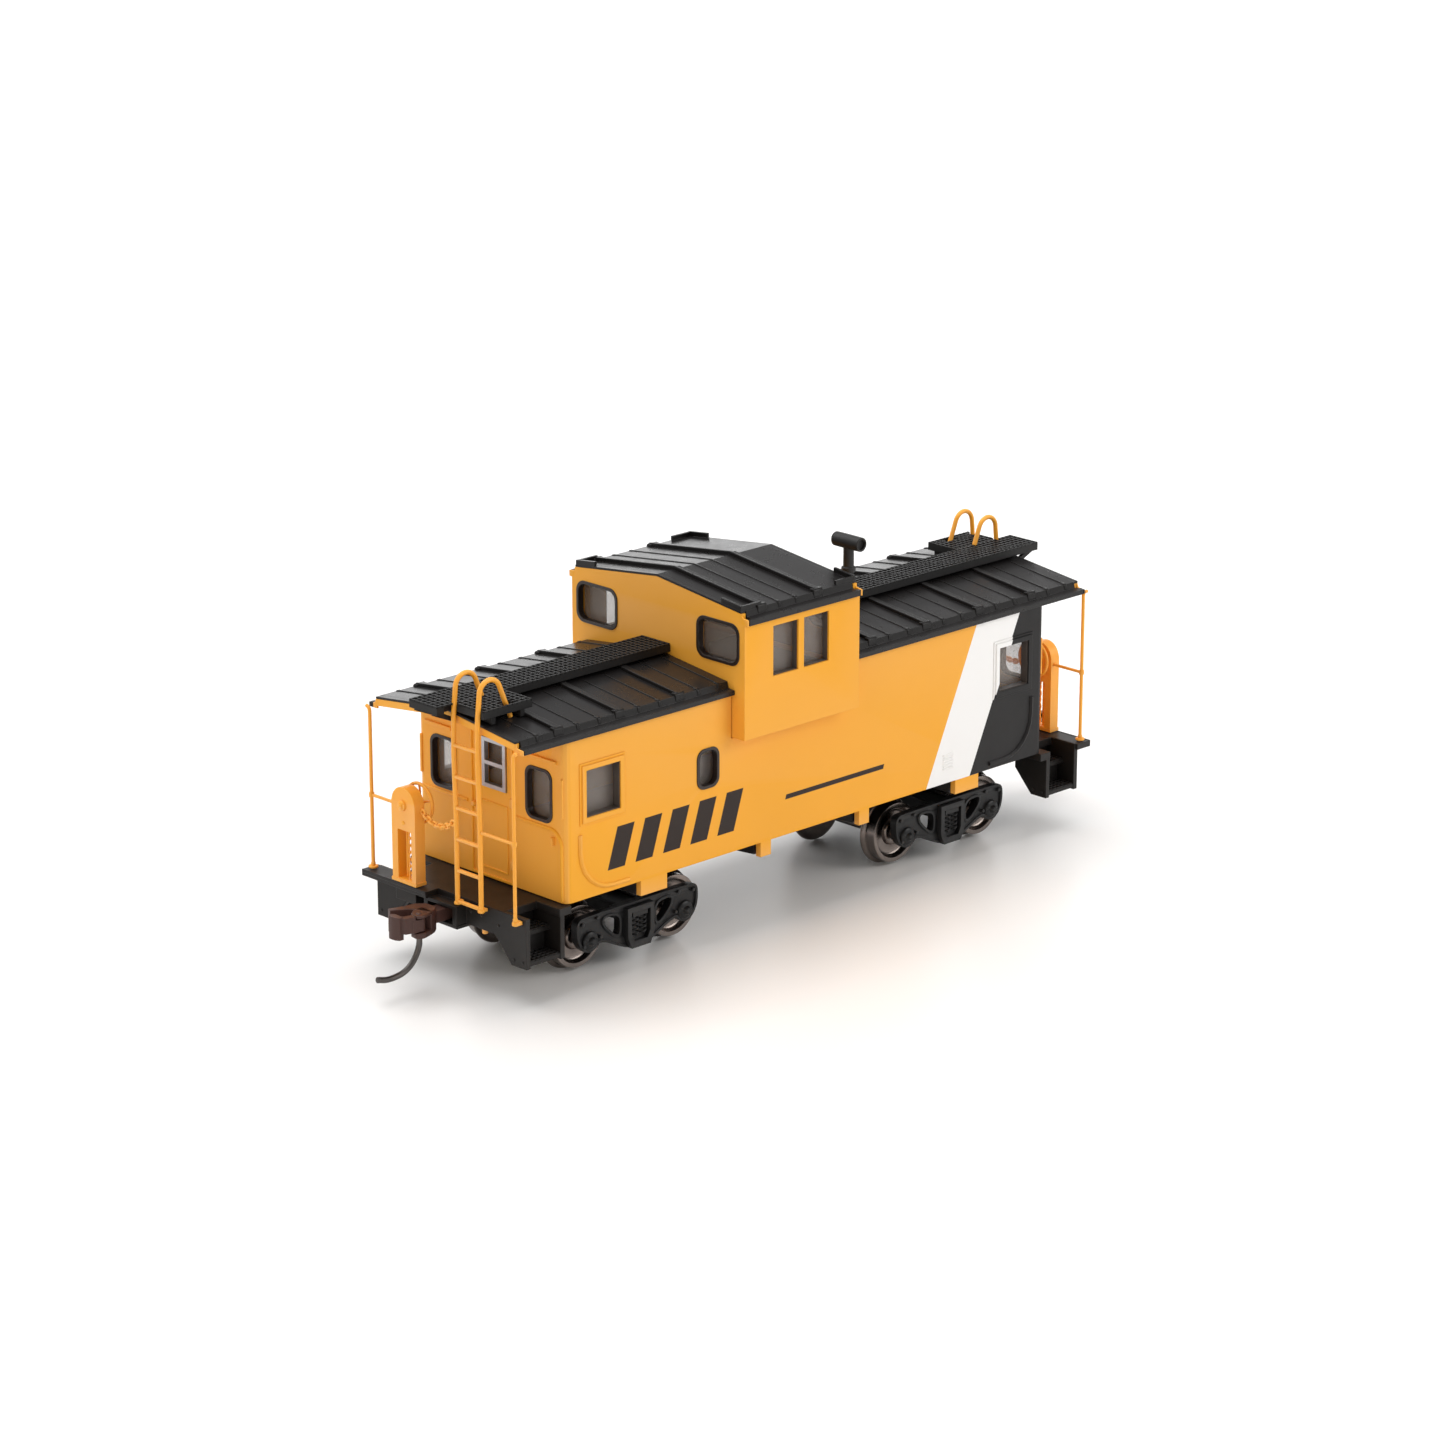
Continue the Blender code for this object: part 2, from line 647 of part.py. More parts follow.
def main_roof(name, slab_x, eave_x, lip_x, ribs):
    """Half of the main roof. Its thin lip lies over the yellow edge at the end of the car."""
    paint = material("roof_black", BLACK, 0.42)
    roof = new_object(name, prism(slab_outline(ROOF_EDGE_Y, ROOF_EDGE_Z), "x", *slab_x), paint)
    parts = []
    for side in (1, -1):
        profile = eave_profile(side, ROOF_EDGE_Y, ROOF_EDGE_Z, EAVE_Y, EAVE_BOTTOM, BODY_HALF_WIDTH)
        parts.append(prism(profile, "x", *eave_x))
    parts += [prism(rib_outline(ROOF_EDGE_Y, ROOF_EDGE_Z, RIB_HEIGHT), "x", x - 0.45, x + 0.45) for x in ribs]
    join(roof, parts)
    open_end = []
    if eave_x[1] > slab_x[1]:
        open_end.append(box((slab_x[1], eave_x[1] + 1), (-15.6, 15.6), (30, 50)))
    if eave_x[0] < slab_x[0]:
        open_end.append(box((eave_x[0] - 1, slab_x[0]), (-15.6, 15.6), (30, 50)))
    walk_channel = box((-70, 70), (-WALK_HALF_WIDTH - 0.3, WALK_HALF_WIDTH + 0.3), (roof_z(0) + 0.01, 50))
    cut(roof, open_end + [walk_channel])
    join(roof, [prism(chevron(ROOF_EDGE_Y - 0.03, ROOF_EDGE_Z - 0.01, END_LIP), "x", *lip_x)])


def main_roofs():
    inner_near = CUPOLA_NEAR - FIT
    inner_far = CUPOLA_FAR + FIT
    tip = ROOF_HALF_LENGTH
    slab_end = tip - 0.8 - FIT
    eave_end_x = tip - EAVE_PLATE - FIT
    near_lip, far_lip = (-tip, -slab_end + 0.5), (slab_end - 0.5, tip)
    main_roof("roof_near", (-slab_end, inner_near), (-eave_end_x, inner_near), near_lip, NEAR_RIBS)
    main_roof("roof_far", (inner_far, slab_end), (inner_far, eave_end_x), far_lip, FAR_RIBS)


def corner_fins(side):
    """The low upstands at two corners of the cupola roof, each an L of an end fin and an eave fin."""
    outer, inner = CUPOLA_EDGE_Y - 0.1, CUPOLA_EDGE_Y - 4.3
    fins = []
    for end_x, toward in ((CUPOLA_NEAR + 0.05, 1), (CUPOLA_FAR - 0.05, -1)):
        top = [(side * y, roof_z(y, CUPOLA_EDGE_Y, CUPOLA_EDGE_Z) + 0.75) for y in (inner, outer)]
        outline = top + [(y, z - 0.9) for y, z in reversed(top)]
        fins.append(prism(outline, "x", *sorted((end_x, end_x + toward * 0.45))))
        eave = (side * (outer - 0.4), side * (outer - 0.01))
        height = (CUPOLA_EDGE_Z - 0.2, CUPOLA_EDGE_Z + 0.74)
        fins.append(box((end_x + toward * 0.01, end_x + toward * 4.2), eave, height))
    return fins


def cupola_roof():
    paint = material("roof_black", BLACK, 0.42)
    x = (CUPOLA_NEAR + CUPOLA_SEAM + FIT, CUPOLA_FAR - CUPOLA_SEAM - FIT)
    eave_x = (CUPOLA_NEAR + EAVE_PLATE + FIT, CUPOLA_FAR - EAVE_PLATE - FIT)
    eave_bottom = CUPOLA_EAVE_BOTTOM - 0.05
    roof = new_object("cupola_roof", prism(slab_outline(CUPOLA_EDGE_Y, CUPOLA_EDGE_Z), "x", *x), paint)
    lip = chevron(CUPOLA_EDGE_Y - 0.03, CUPOLA_EDGE_Z - 0.01, END_LIP, CUPOLA_EDGE_Y)
    parts = [prism(lip, "x", *limits) for limits in ((CUPOLA_NEAR, x[0] + 0.5), (x[1] - 0.5, CUPOLA_FAR))]
    for side in (1, -1):
        limits = (side, CUPOLA_EDGE_Y, CUPOLA_EDGE_Z, CUPOLA_EAVE_Y, eave_bottom, CUPOLA_HALF_WIDTH)
        parts.append(prism(eave_profile(*limits), "x", *x))
        lower = [
            (side * (CUPOLA_EDGE_Y + 0.3), CUPOLA_EDGE_Z - 1.2),
            (side * CUPOLA_EAVE_Y, CUPOLA_EDGE_Z - 1.1),
            (side * CUPOLA_EAVE_Y, eave_bottom),
            (side * (CUPOLA_HALF_WIDTH + FIT), eave_bottom),
            (side * (CUPOLA_HALF_WIDTH + FIT), CUPOLA_EAVE_BOTTOM + 0.4),
            (side * (CUPOLA_EDGE_Y + 0.3), CUPOLA_EAVE_BOTTOM + 0.4),
        ]
        parts.append(prism(lower, "x", *eave_x))
        parts += corner_fins(side)
    parts += [
        prism(rib_outline(CUPOLA_EDGE_Y, CUPOLA_EDGE_Z, RIB_HEIGHT), "x", rib - 0.45, rib + 0.45)
        for rib in CUPOLA_RIBS
    ]
    join(roof, parts)


# ---------------------------------------------------------------- roof fittings

PLATFORM_X = (-61.0, -51.6)
PLATFORM_Y = (-9.3, -2.0)
ARCH_LEG_HOLE = (-56.45, -54.45)


def roof_walk(end, board_inner):
    """The running board from the cupola to past the roof end, with its ladder platform."""
    paint = material("walk_black", BLACK, 0.5)
    thickness = (WALK_TOP - WALK_THICKNESS, WALK_TOP)
    board = box((-WALK_END, board_inner), (-WALK_HALF_WIDTH, WALK_HALF_WIDTH), thickness)
    walk = new_object(f"roof_walk_{end}", at_end(board, end), paint)
    under = WALK_TOP - WALK_THICKNESS
    parts = [box(PLATFORM_X, PLATFORM_Y, (under + 0.02, WALK_TOP - 0.02))]
    leg = [
        (-9.1, roof_z(9.1) + FIT),
        (-5.2, roof_z(5.2) + FIT),
        (-5.2, under + 0.3),
        (-9.1, under + 0.3),
    ]
    for x in ((-59.3, -58.5), (-53.7, -52.9)):
        parts.append(prism(leg, "x", *x))
    strut = [
        (-WALK_END + 0.2, under + 0.1),
        (-WALK_END + 0.2, under - 0.3),
        (-ROOF_HALF_LENGTH - FIT, under - 1.9),
        (-ROOF_HALF_LENGTH - FIT, under - 1.2),
        (-WALK_END + 1.3, under + 0.1),
    ]
    for y in both_sides(1.6, 2.2):
        parts.append(prism(strut, "y", *y))
    join(walk, [at_end(part, end) for part in parts])
    outer = LADDER_STILES[1]
    holes = [box(ARCH_LEG_HOLE, (outer - 0.75, outer + 0.75), (40, 46))]
    for y in LADDER_STILES:
        holes.append(box((LADDER_X - 2, LADDER_X + 0.85), (y - 0.65, y + 0.65), (40, 46)))
    cut(walk, [at_end(hole, end) for hole in holes])


def smoke_jack():
    paint = material("roof_black", BLACK, 0.42)
    x, y, head_z = 11.0, -12.1, 56.0
    foot = roof_z(14.5)
    jack = new_object("smoke_jack", rod(0.95, "z", (x, y, 0), foot, head_z, steps=14), paint)
    head = swept([(x, y - 2.4, head_z), (x, y + 2.4, head_z)], 1.3, sides=14)
    flange = rod(1.5, "z", (x, y, 0), foot - 0.01, roof_z(y) + 0.7, steps=14)
    collar = rod(1.15, "z", (x, y, 0), head_z - 5.0, head_z - 3.9, steps=14)
    join(jack, [head, flange, collar])
    below_roof = [(-17, roof_z(17) + FIT), (-8, roof_z(8) + FIT), (-8, 35), (-17, 35)]
    cut(jack, [prism(below_roof, "x", x - 3, x + 3)])
    smooth(jack)


# ---------------------------------------------------------------- end fittings

ARCH_CENTRE = (-58.75, 46.0)
ARCH_RADIUS = 2.0
LEG_LEAN = 22.0
LADDER_LEAN = 0.25


def stile_x(z):
    """The ladder leans out a little on its way up to the roof end."""
    return LADDER_X - LADDER_LEAN * min(max((z - 26.0) / 10.5, 0.0), 1.0)


def ladder(end):
    """Two stiles that arch over the roof end on sloping legs, and six rungs."""
    paint = material("rail_yellow", YELLOW, 0.4)
    bend = arc(ARCH_CENTRE, ARCH_RADIUS, 180, LEG_LEAN, 8)
    lean = math.tan(math.radians(LEG_LEAN))
    pieces = []
    for y, leg_foot in zip(LADDER_STILES, (WALK_TOP + 0.12, roof_z(LADDER_STILES[1]) + FIT)):
        path = [(LADDER_X, LADDER_FOOT), (LADDER_X, 26.0), (stile_x(36.5), 36.5), (LADDER_X - 0.15, 42.0)]
        path += bend + [(bend[-1][0] + lean * (bend[-1][1] - leg_foot), leg_foot)]
        pieces.append(swept([(x, y, z) for x, z in path], 0.45, sides=8))
    for rung in range(RUNGS):
        z = RUNG_FIRST + rung * RUNG_PITCH
        x = stile_x(z)
        pieces.append(box((x - 0.3, x + 0.3), (LADDER_STILES[1], LADDER_STILES[0]), (z - 0.27, z + 0.27)))
    for y in LADDER_STILES:
        pieces.append(box((LADDER_X, -DECK_HALF_LENGTH - FIT), (y - 0.4, y + 0.4), (13.15, 13.65)))
    first, rest = pieces[0], pieces[1:]
    frame = new_object(f"ladder_{end}", at_end(first, end), paint)
    join(frame, [at_end(piece, end) for piece in rest])
    smooth(frame)


def corner_rail(end, side):
    """A corner post that elbows into the roof end, with the rail that runs inward from it."""
    paint = material("rail_yellow", YELLOW, 0.4)
    y = side * POST_Y[side]
    foot = DECK_TOP + FIT + 0.05 if side > 0 else 13.2
    top = ROOF_EDGE_Z - 2.9
    elbow = [(0.0, 0.0), (0.0, 0.9), (0.2, 1.25), (0.75, 1.4)]
    path = [(y, foot)] + [(y + side * step, top + rise) for step, rise in elbow]
    post = swept([(POST_X, py, pz) for py, pz in path], POST_RADIUS, sides=8)
    name = f"corner_rail_{end}_{'left' if side > 0 else 'right'}"
    rail = new_object(name, at_end(post, end), paint)
    inner = STAND_Y[1] + FIT if side > 0 else LADDER_STILES[1] - 0.5 - FIT
    cross = swept([(POST_X, side * abs(inner), RAIL_Z), (POST_X, y, RAIL_Z)], 0.3, sides=6)
    extra = [cross]
    if side < 0:
        extra.append(box((POST_X - 0.3, -DECK_HALF_LENGTH - FIT), (y - 0.45, y + 0.45), (13.0, 13.6)))
    else:
        extra.append(box((POST_X - 0.8, POST_X + 0.8), (y - 0.45, y + 0.45), (foot - 0.01, foot + 0.4)))
    join(rail, [at_end(piece, end) for piece in extra])
    smooth(rail)


def brake_stand(end):
    """The upright brake housing with its chain slot."""
    paint = material("rail_yellow", YELLOW, 0.4)
    y0, y1 = STAND_Y
    bottom = DECK_TOP + FIT + 0.02
    crown = arc(((y0 + y1) / 2, STAND_TOP - 2.9), 2.9, 25, 155, 6)
    outline = [(y0, bottom), (y1, bottom), (y1, STAND_TOP - 1.9)] + crown + [(y0, STAND_TOP - 1.9)]
    stand = new_object(f"brake_stand_{end}", at_end(prism(outline, "x", *STAND_X), end), paint)
    slot = box((STAND_X[0] - 1, STAND_X[0] + 1.2), (5.75, 8.8), (14.5, 22.2))
    bolt = rod(0.6, "x", (0, 7.5, 26.0), STAND_X[0] - 0.35, STAND_X[0] + 0.3, steps=10)
    chain_links = []
    for link in range(5):
        z = 15.2 + link * 1.5
        chain_links.append(box((STAND_X[0] + 0.15, STAND_X[0] + 1.4), (6.1, 6.9), (z - 0.5, z + 0.5)))
    cut(stand, [at_end(slot, end)])
    join(stand, [at_end(piece, end) for piece in [bolt] + chain_links])
    smooth(stand)


def brake_wheel(end):
    """A spoked hand wheel on the car side of the brake stand."""
    paint = material("rail_yellow", YELLOW, 0.4)
    centre = (-59.55, BRAKE_WHEEL_Y, BRAKE_WHEEL_Z)
    half = 0.32
    outer, inner = BRAKE_WHEEL_RADIUS, BRAKE_WHEEL_RADIUS - 0.62
    rim = turned([(inner, -half), (outer, -half), (outer, half), (inner, half)], "x", centre, steps=20)
    wheel = new_object(f"brake_wheel_{end}", at_end(rim, end), paint)
    parts = [rod(0.85, "x", centre, -0.7, 0.5, steps=10)]
    for spoke in range(5):
        angle = math.radians(90 + 72 * spoke)
        away = Vector((0, math.cos(angle), math.sin(angle)))
        start = Vector(centre) + away * 0.3
        finish = Vector(centre) + away * (inner + 0.3)
        parts.append(swept([start, finish], 0.24, sides=6))
    join(wheel, [at_end(part, end) for part in parts])
    smooth(wheel)


def safety_chain(end):
    """The short chain that closes the gap between the brake stand and the ladder, moulded stiff."""
    paint = material("rail_yellow", YELLOW, 0.4)
    start, finish, drop = STAND_Y[0] - 0.35, LADDER_STILES[0] + 0.85, 1.5
    path = []
    for step in range(9):
        share = step / 8
        y = start + (finish - start) * share
        path.append((LADDER_X, y, RAIL_Z + 0.25 - drop * 4 * share * (1 - share)))
    chain = new_object(f"safety_chain_{end}", at_end(swept(path, 0.3, sides=6), end), paint)
    smooth(chain)


def door_sash(end):
    """The two-pane sash that sits in the end door's opening."""
    paint = material("sash_silver", SILVER, 0.35, 0.6)
    y = (DOOR_WINDOW_Y[0] + FIT / 2, DOOR_WINDOW_Y[1] - FIT / 2)
    z = (DOOR_WINDOW_Z[0] + FIT / 2, DOOR_WINDOW_Z[1] - FIT / 2)
    x = (-BODY_HALF_LENGTH - 0.3, -BODY_HALF_LENGTH + 0.5)
    sash = new_object(f"door_sash_{end}", at_end(box(x, y, z), end), paint)
    bar = 0.6
    middle = (z[0] + z[1]) / 2
    panes = []
    for pane in ((z[0] + bar, middle - bar / 2), (middle + bar / 2, z[1] - bar)):
        panes.append(box((x[0] - 1, x[1] + 1), (y[0] + bar, y[1] - bar), pane))
    cut(sash, [at_end(pane, end) for pane in panes])


# ---------------------------------------------------------------- clear inserts

PANE = 0.6


def end_glazing(end):
    """A clear strip behind the three openings of an end wall."""
    paint = material("clear_plastic", CLEAR, 0.08)
    inner = -BODY_HALF_LENGTH + WALL + FIT
    strip = box((inner, inner + PANE), (-14.2, 14.2), (24.5, 36.8))
    new_object(f"glazing_end_{end}", at_end(strip, end), paint)


def side_glazing(side):
    """A clear strip behind the windows of one side, below the cupola's bay."""
    paint = material("clear_plastic", CLEAR, 0.08)
    y = sorted((side * (BODY_HALF_WIDTH - WALL - FIT), side * (BODY_HALF_WIDTH - WALL - FIT - PANE)))
    name = f"glazing_side_{'left' if side > 0 else 'right'}"
    strip = new_object(name, box((-48.6, 48.6), y, (24.8, 35.0)), paint)
    cut(strip, [box((CUPOLA_NEAR - 1, CUPOLA_FAR + 1), (-20, 20), (CUPOLA_BOTTOM - 0.6, 40))])


def cupola_glazing():
    """One clear box that lines the four walls of the cupola."""
    paint = material("clear_plastic", CLEAR, 0.08)
    x = (CUPOLA_NEAR + WALL + FIT, CUPOLA_FAR - WALL - FIT)
    half = CUPOLA_HALF_WIDTH - WALL - FIT
    liner = new_object("glazing_cupola", box(x, (-half, half), (39.5, CUPOLA_EAVE_BOTTOM - 0.1)), paint)
    hollow = box((x[0] + PANE, x[1] - PANE), (-half + PANE, half - PANE), (38, 52))
    cut(liner, [hollow])


# ---------------------------------------------------------------- couplers

def coupler_pocket_lid(end):
    """The plate that closes the coupler pocket from below."""
    paint = material("frame_black", BLACK, 0.5)
    z = (LID_BOTTOM, LID_BOTTOM + 0.5)
    lid = new_object(f"coupler_lid_{end}", at_end(box((-61.7, -50.7), (-3.5, 3.5), z), end), paint)
    hole = rod(0.62, "z", (COUPLER_PIVOT_X, 0, 0), 0, 15, steps=12)
    cut(lid, [at_end(hole, end)])


def coupler_screw(end):
    """The screw that holds the lid to the pocket's post."""
    paint = material("screw_steel", STEEL, 0.35, 0.9)
    shank = rod(0.4, "z", (COUPLER_PIVOT_X, 0, 0), LID_BOTTOM - 0.3, 11.9, steps=10)
    screw = new_object(f"coupler_screw_{end}", at_end(shank, end), paint)
    head = rod(1.1, "z", (COUPLER_PIVOT_X, 0, 0), LID_BOTTOM - 0.75, LID_BOTTOM - FIT, steps=14)
    slot_x = (COUPLER_PIVOT_X - 2, COUPLER_PIVOT_X + 2)
    slot = box(slot_x, (-0.15, 0.15), (LID_BOTTOM - 1.0, LID_BOTTOM - 0.5))
    join(screw, [at_end(head, end)])
    cut(screw, [at_end(slot, end)])
    smooth(screw)


def coupler(end, parent):
    """Shank and head. The ring of the shank turns on the pocket's post."""
    paint = material("coupler_brown", COUPLER_BROWN, 0.45)
    z = (COUPLER_Z - 0.95, COUPLER_Z + 0.95)
    shank = box((-65.5, COUPLER_PIVOT_X), (-1.15, 1.15), z)
    body = new_object(f"coupler_{end}", at_end(shank, end), paint, parent)
    pivot_x, pivot_y = KNUCKLE_PIVOT
    head = [
        (-63.6, -1.1),
        (-63.6, 1.1),
        (-65.0, 2.2),
        (-66.8, 2.4),
        (-69.2, 3.2),
        (-69.5, 2.3),
        (-67.6, 1.2),
        (-66.6, 0.3),
        (-66.2, -0.9),
        (-65.6, -2.3),
        (-64.6, -1.9),
    ]
    lug = [(-65.2, 0.3), (-67.0, 0.1), (-68.3, -0.9), (-68.5, -1.9)]
    lug += [(-67.7, -2.7), (-66.4, -2.7), (-65.2, -2.2)]
    parts = [
        rod(2.1, "z", (COUPLER_PIVOT_X, 0, 0), *z, steps=18),
        prism(head, "z", HEAD_BOTTOM, HEAD_TOP),
        prism(lug, "z", COUPLER_Z + 1.2, HEAD_TOP + 0.01),
        prism(lug, "z", HEAD_BOTTOM - 0.01, COUPLER_Z - 1.05),
    ]
    join(body, [at_end(part, end) for part in parts])
    pin_x, pin_y = TRIP_PIN[0][0], TRIP_PIN_Y
    cuts = [
        rod(1.1, "z", (COUPLER_PIVOT_X, 0, 0), 5, 16, steps=18),
        rod(0.65, "z", (pin_x, pin_y, 0), 5, COUPLER_Z + 0.6, steps=12),
        rod(0.36, "z", (pivot_x, pivot_y, 0), 5, 16, steps=10),
    ]
    cut(body, [at_end(part, end) for part in cuts])
    smooth(body)


def knuckle(end, parent):
    """The swinging jaw: an arm from its pivot stubs to a tall nose."""
    paint = material("coupler_brown", COUPLER_BROWN, 0.45)
    pivot_x, pivot_y = KNUCKLE_PIVOT
    root = arc((pivot_x, pivot_y), 0.85, -110, 60, 6) + [(-68.6, -1.0), (-69.2, -2.35)]
    jaw = prism(root, "z", COUPLER_Z - 0.9, COUPLER_Z + 1.05)
    obj = new_object(f"knuckle_{end}", at_end(jaw, end), paint, parent)
    arm = [(-68.75, -1.2), (-70.0, -0.7), (-70.6, -1.1), (-70.2, -2.0), (-68.85, -2.3)]
    nose = [(-70.05, -1.35), (-70.05, 0.6), (-70.6, 1.0), (-71.15, 0.8)]
    nose += [(COUPLER_FACE_X, 0.3), (-71.2, -0.8), (-70.8, -1.4)]
    parts = [
        prism(arm, "z", COUPLER_Z - 0.85, HEAD_TOP - 0.05),
        prism(nose, "z", COUPLER_Z - 1.8, HEAD_TOP + 0.08),
        rod(0.28, "z", (pivot_x, pivot_y, 0), HEAD_BOTTOM + 0.2, HEAD_TOP - 0.2, steps=10),
    ]
    join(obj, [at_end(part, end) for part in parts])


def trip_pin(end, parent):
    """The bent wire below the head, which stands for the brake hose."""
    paint = material("pin_metal", PIN_METAL, 0.35, 0.8)
    wire = swept([(x, TRIP_PIN_Y, z) for x, z in TRIP_PIN], 0.5, sides=8)
    smooth(new_object(f"trip_pin_{end}", at_end(wire, end), paint, parent))


# ---------------------------------------------------------------- trucks

def side_frame_outline():
    """One half of the cast side frame, from the middle of the top round to the middle of the bottom."""
    half = [
        (11.2, SIDE_FRAME_TOP),
        (12.1, 8.9),
        (12.4, 8.0),
        (12.3, 6.1),
        (11.7, 4.7),
        (10.7, 3.8),
        (9.7, 3.55),
        (8.6, 3.95),
        (7.6, 4.95),
        (2.0, 2.2),
    ]
    return half + [(-x, z) for x, z in reversed(half)]


def spring_frame(x, half, levels, foot):
    """The outline round the springs: a box of the given half width that narrows to its foot."""
    top, shoulder, bottom = levels
    left = [(x - half, top), (x - half, shoulder), (x - foot, bottom)]
    return left + [(x + foot, bottom), (x + half, shoulder), (x + half, top)]


def truck_frame(name, x, parent):
    paint = material("truck_black", BLACK, 0.5)
    beam = [(-11.9, 6.6), (-6.0, 6.2), (6.0, 6.2), (11.9, 6.6)]
    beam += [(11.9, 8.6), (4.2, BOLSTER_TOP), (-4.2, BOLSTER_TOP), (-11.9, 8.6)]
    frame = new_object(name, prism(beam, "x", x - 2.5, x + 2.5), paint, parent)
    parts, cuts = [], []
    for side in (1, -1):
        y = sorted((side * SIDE_FRAME_INNER, side * SIDE_FRAME_OUTER))
        parts.append(prism([(x + px, pz) for px, pz in side_frame_outline()], "y", *y))
        box_y = sorted((side * (SIDE_FRAME_OUTER - 0.3), side * (SIDE_FRAME_OUTER + 0.7)))
        parts.append(prism(spring_frame(x, 2.7, (8.8, 4.1, 2.35), 1.9), "y", *box_y))
        for axle in (-WHEELBASE / 2, WHEELBASE / 2):
            centre = (x + axle, 0, FLANGE_RADIUS)
            cover = sorted((side * (SIDE_FRAME_OUTER - 0.3), side * (SIDE_FRAME_OUTER + 0.9)))
            parts.append(rod(1.5, "y", centre, *cover, steps=14))
            blind = sorted((side * (SIDE_FRAME_INNER - 1), side * (AXLE_HALF + 0.15)))
            cuts.append(rod(JOURNAL_BORE, "y", centre, *blind, steps=16))
        for sign in (1, -1):
            gap = [(3.75, 4.95), (3.75, 8.05), (6.9, 8.35), (6.8, 7.1), (4.7, 5.15)]
            outline = [(x + sign * px, pz) for px, pz in gap]
            cuts.append(prism(outline, "y", *sorted((side * 10.5, side * 14.5))))
        pocket = sorted((side * (SIDE_FRAME_OUTER + 0.25), side * 15))
        cuts.append(prism(spring_frame(x, 1.9, (7.95, 4.6, 3.4), 1.3), "y", *pocket))
        springs = sorted((side * (SIDE_FRAME_OUTER - 0.2), side * (SIDE_FRAME_OUTER + 0.5)))
        parts.append(box((x - 1.5, x + 1.5), springs, (4.2, 7.3)))
    join(frame, parts)
    cuts.append(rod(0.95, "z", (x, 0, 0), 4, 11, steps=16))
    cut(frame, cuts)


def truck_screw(name, x):
    """The kingpin screw that a truck turns on."""
    paint = material("screw_steel", STEEL, 0.35, 0.9)
    screw = new_object(name, rod(0.75, "z", (x, 0, 0), 5.9, 12.6, steps=14), paint)
    head = rod(1.9, "z", (x, 0, 0), 5.1, 6.05, steps=18)
    join(screw, [head])
    cut(screw, [box((x - 3, x + 3), (-0.2, 0.2), (4.9, 5.5))])
    smooth(screw)


def wheel_profile():
    """Radius and distance from the wheel's back face, round the rim, plate and hub."""
    return [
        (WHEEL_BORE, 0.1),
        (TREAD_RADIUS + 0.1, 0.05),
        (FLANGE_RADIUS, 0.35),
        (TREAD_RADIUS + 0.15, 0.8),
        (TREAD_RADIUS, WHEEL_WIDTH),
        (TREAD_RADIUS - 0.75, WHEEL_WIDTH),
        (TREAD_RADIUS - 1.0, 1.9),
        (2.1, 1.9),
        (WHEEL_BORE, 2.5),
    ]


def wheel(name, x, side, parent):
    paint = material("wheel_metal", WHEEL_METAL, 0.3, 0.85)
    builder = turned(wheel_profile(), "z", (0, 0, 0), steps=WHEEL_STEPS)
    builder.transform(Matrix.Rotation(-math.pi / 2, 4, "X"))
    builder.transform(Matrix.Translation((0, WHEEL_BACK, 0)))
    if side < 0:
        builder.transform(Matrix.Rotation(math.pi, 4, "Z"))
    builder.transform(Matrix.Translation((x, 0, FLANGE_RADIUS)))
    smooth(new_object(name, builder, paint, parent))


def axle(name, x, parent):
    """A steel axle with reduced journals that run in the side frames."""
    paint = material("axle_steel", STEEL, 0.4, 0.8)
    centre = (x, 0, FLANGE_RADIUS)
    shaft = new_object(name, rod(AXLE_RADIUS, "y", centre, -10.6, 10.6, steps=16), paint, parent)
    journals = [rod(JOURNAL_RADIUS, "y", centre, *reach, steps=16) for reach in both_sides(10.0, AXLE_HALF)]
    join(shaft, journals)
    smooth(shaft)


def truck(end, x):
    centre = empty(f"truck_{end}_kingpin", x, 0, 0)
    truck_frame(f"truck_frame_{end}", x, centre)
    truck_screw(f"truck_screw_{end}", x)
    for place, shift in (("outer", -WHEELBASE / 2), ("inner", WHEELBASE / 2)):
        axle_x = x + (shift if end == NEAR else -shift)
        centre_line = empty(f"wheelset_{end}_{place}", axle_x, 0, FLANGE_RADIUS)
        centre_line.parent = centre
        centre_line.matrix_parent_inverse = centre.matrix_world.inverted()
        axle(f"axle_{end}_{place}", axle_x, centre_line)
        for label, side in (("left", 1), ("right", -1)):
            wheel(f"wheel_{end}_{place}_{label}", axle_x, side, centre_line)


def end_fittings(end):
    ladder(end)
    for side in (1, -1):
        corner_rail(end, side)
    brake_stand(end)
    brake_wheel(end)
    safety_chain(end)
    door_sash(end)
    end_glazing(end)
    coupler_pocket_lid(end)
    coupler_screw(end)
    sign = 1 if end == NEAR else -1
    swing = empty(f"coupler_{end}_pivot", sign * COUPLER_PIVOT_X, 0, COUPLER_Z)
    coupler(end, swing)
    trip_pin(end, swing)
    hinge = empty(f"knuckle_{end}_pivot", sign * KNUCKLE_PIVOT[0], sign * KNUCKLE_PIVOT[1], COUPLER_Z)
    knuckle(end, hinge)


def main():
    clear_scene()
    underframe()
    ballast_weight()
    body_shell()
    cupola_shell()
    main_roofs()
    cupola_roof()
    roof_walk(NEAR, CUPOLA_NEAR - FIT)
    roof_walk(FAR, -(CUPOLA_FAR + FIT))
    smoke_jack()
    for side in (1, -1):
        side_glazing(side)
    cupola_glazing()
    for end in ENDS:
        end_fittings(end)
    truck(NEAR, -TRUCK_X)
    truck(FAR, TRUCK_X)


main()
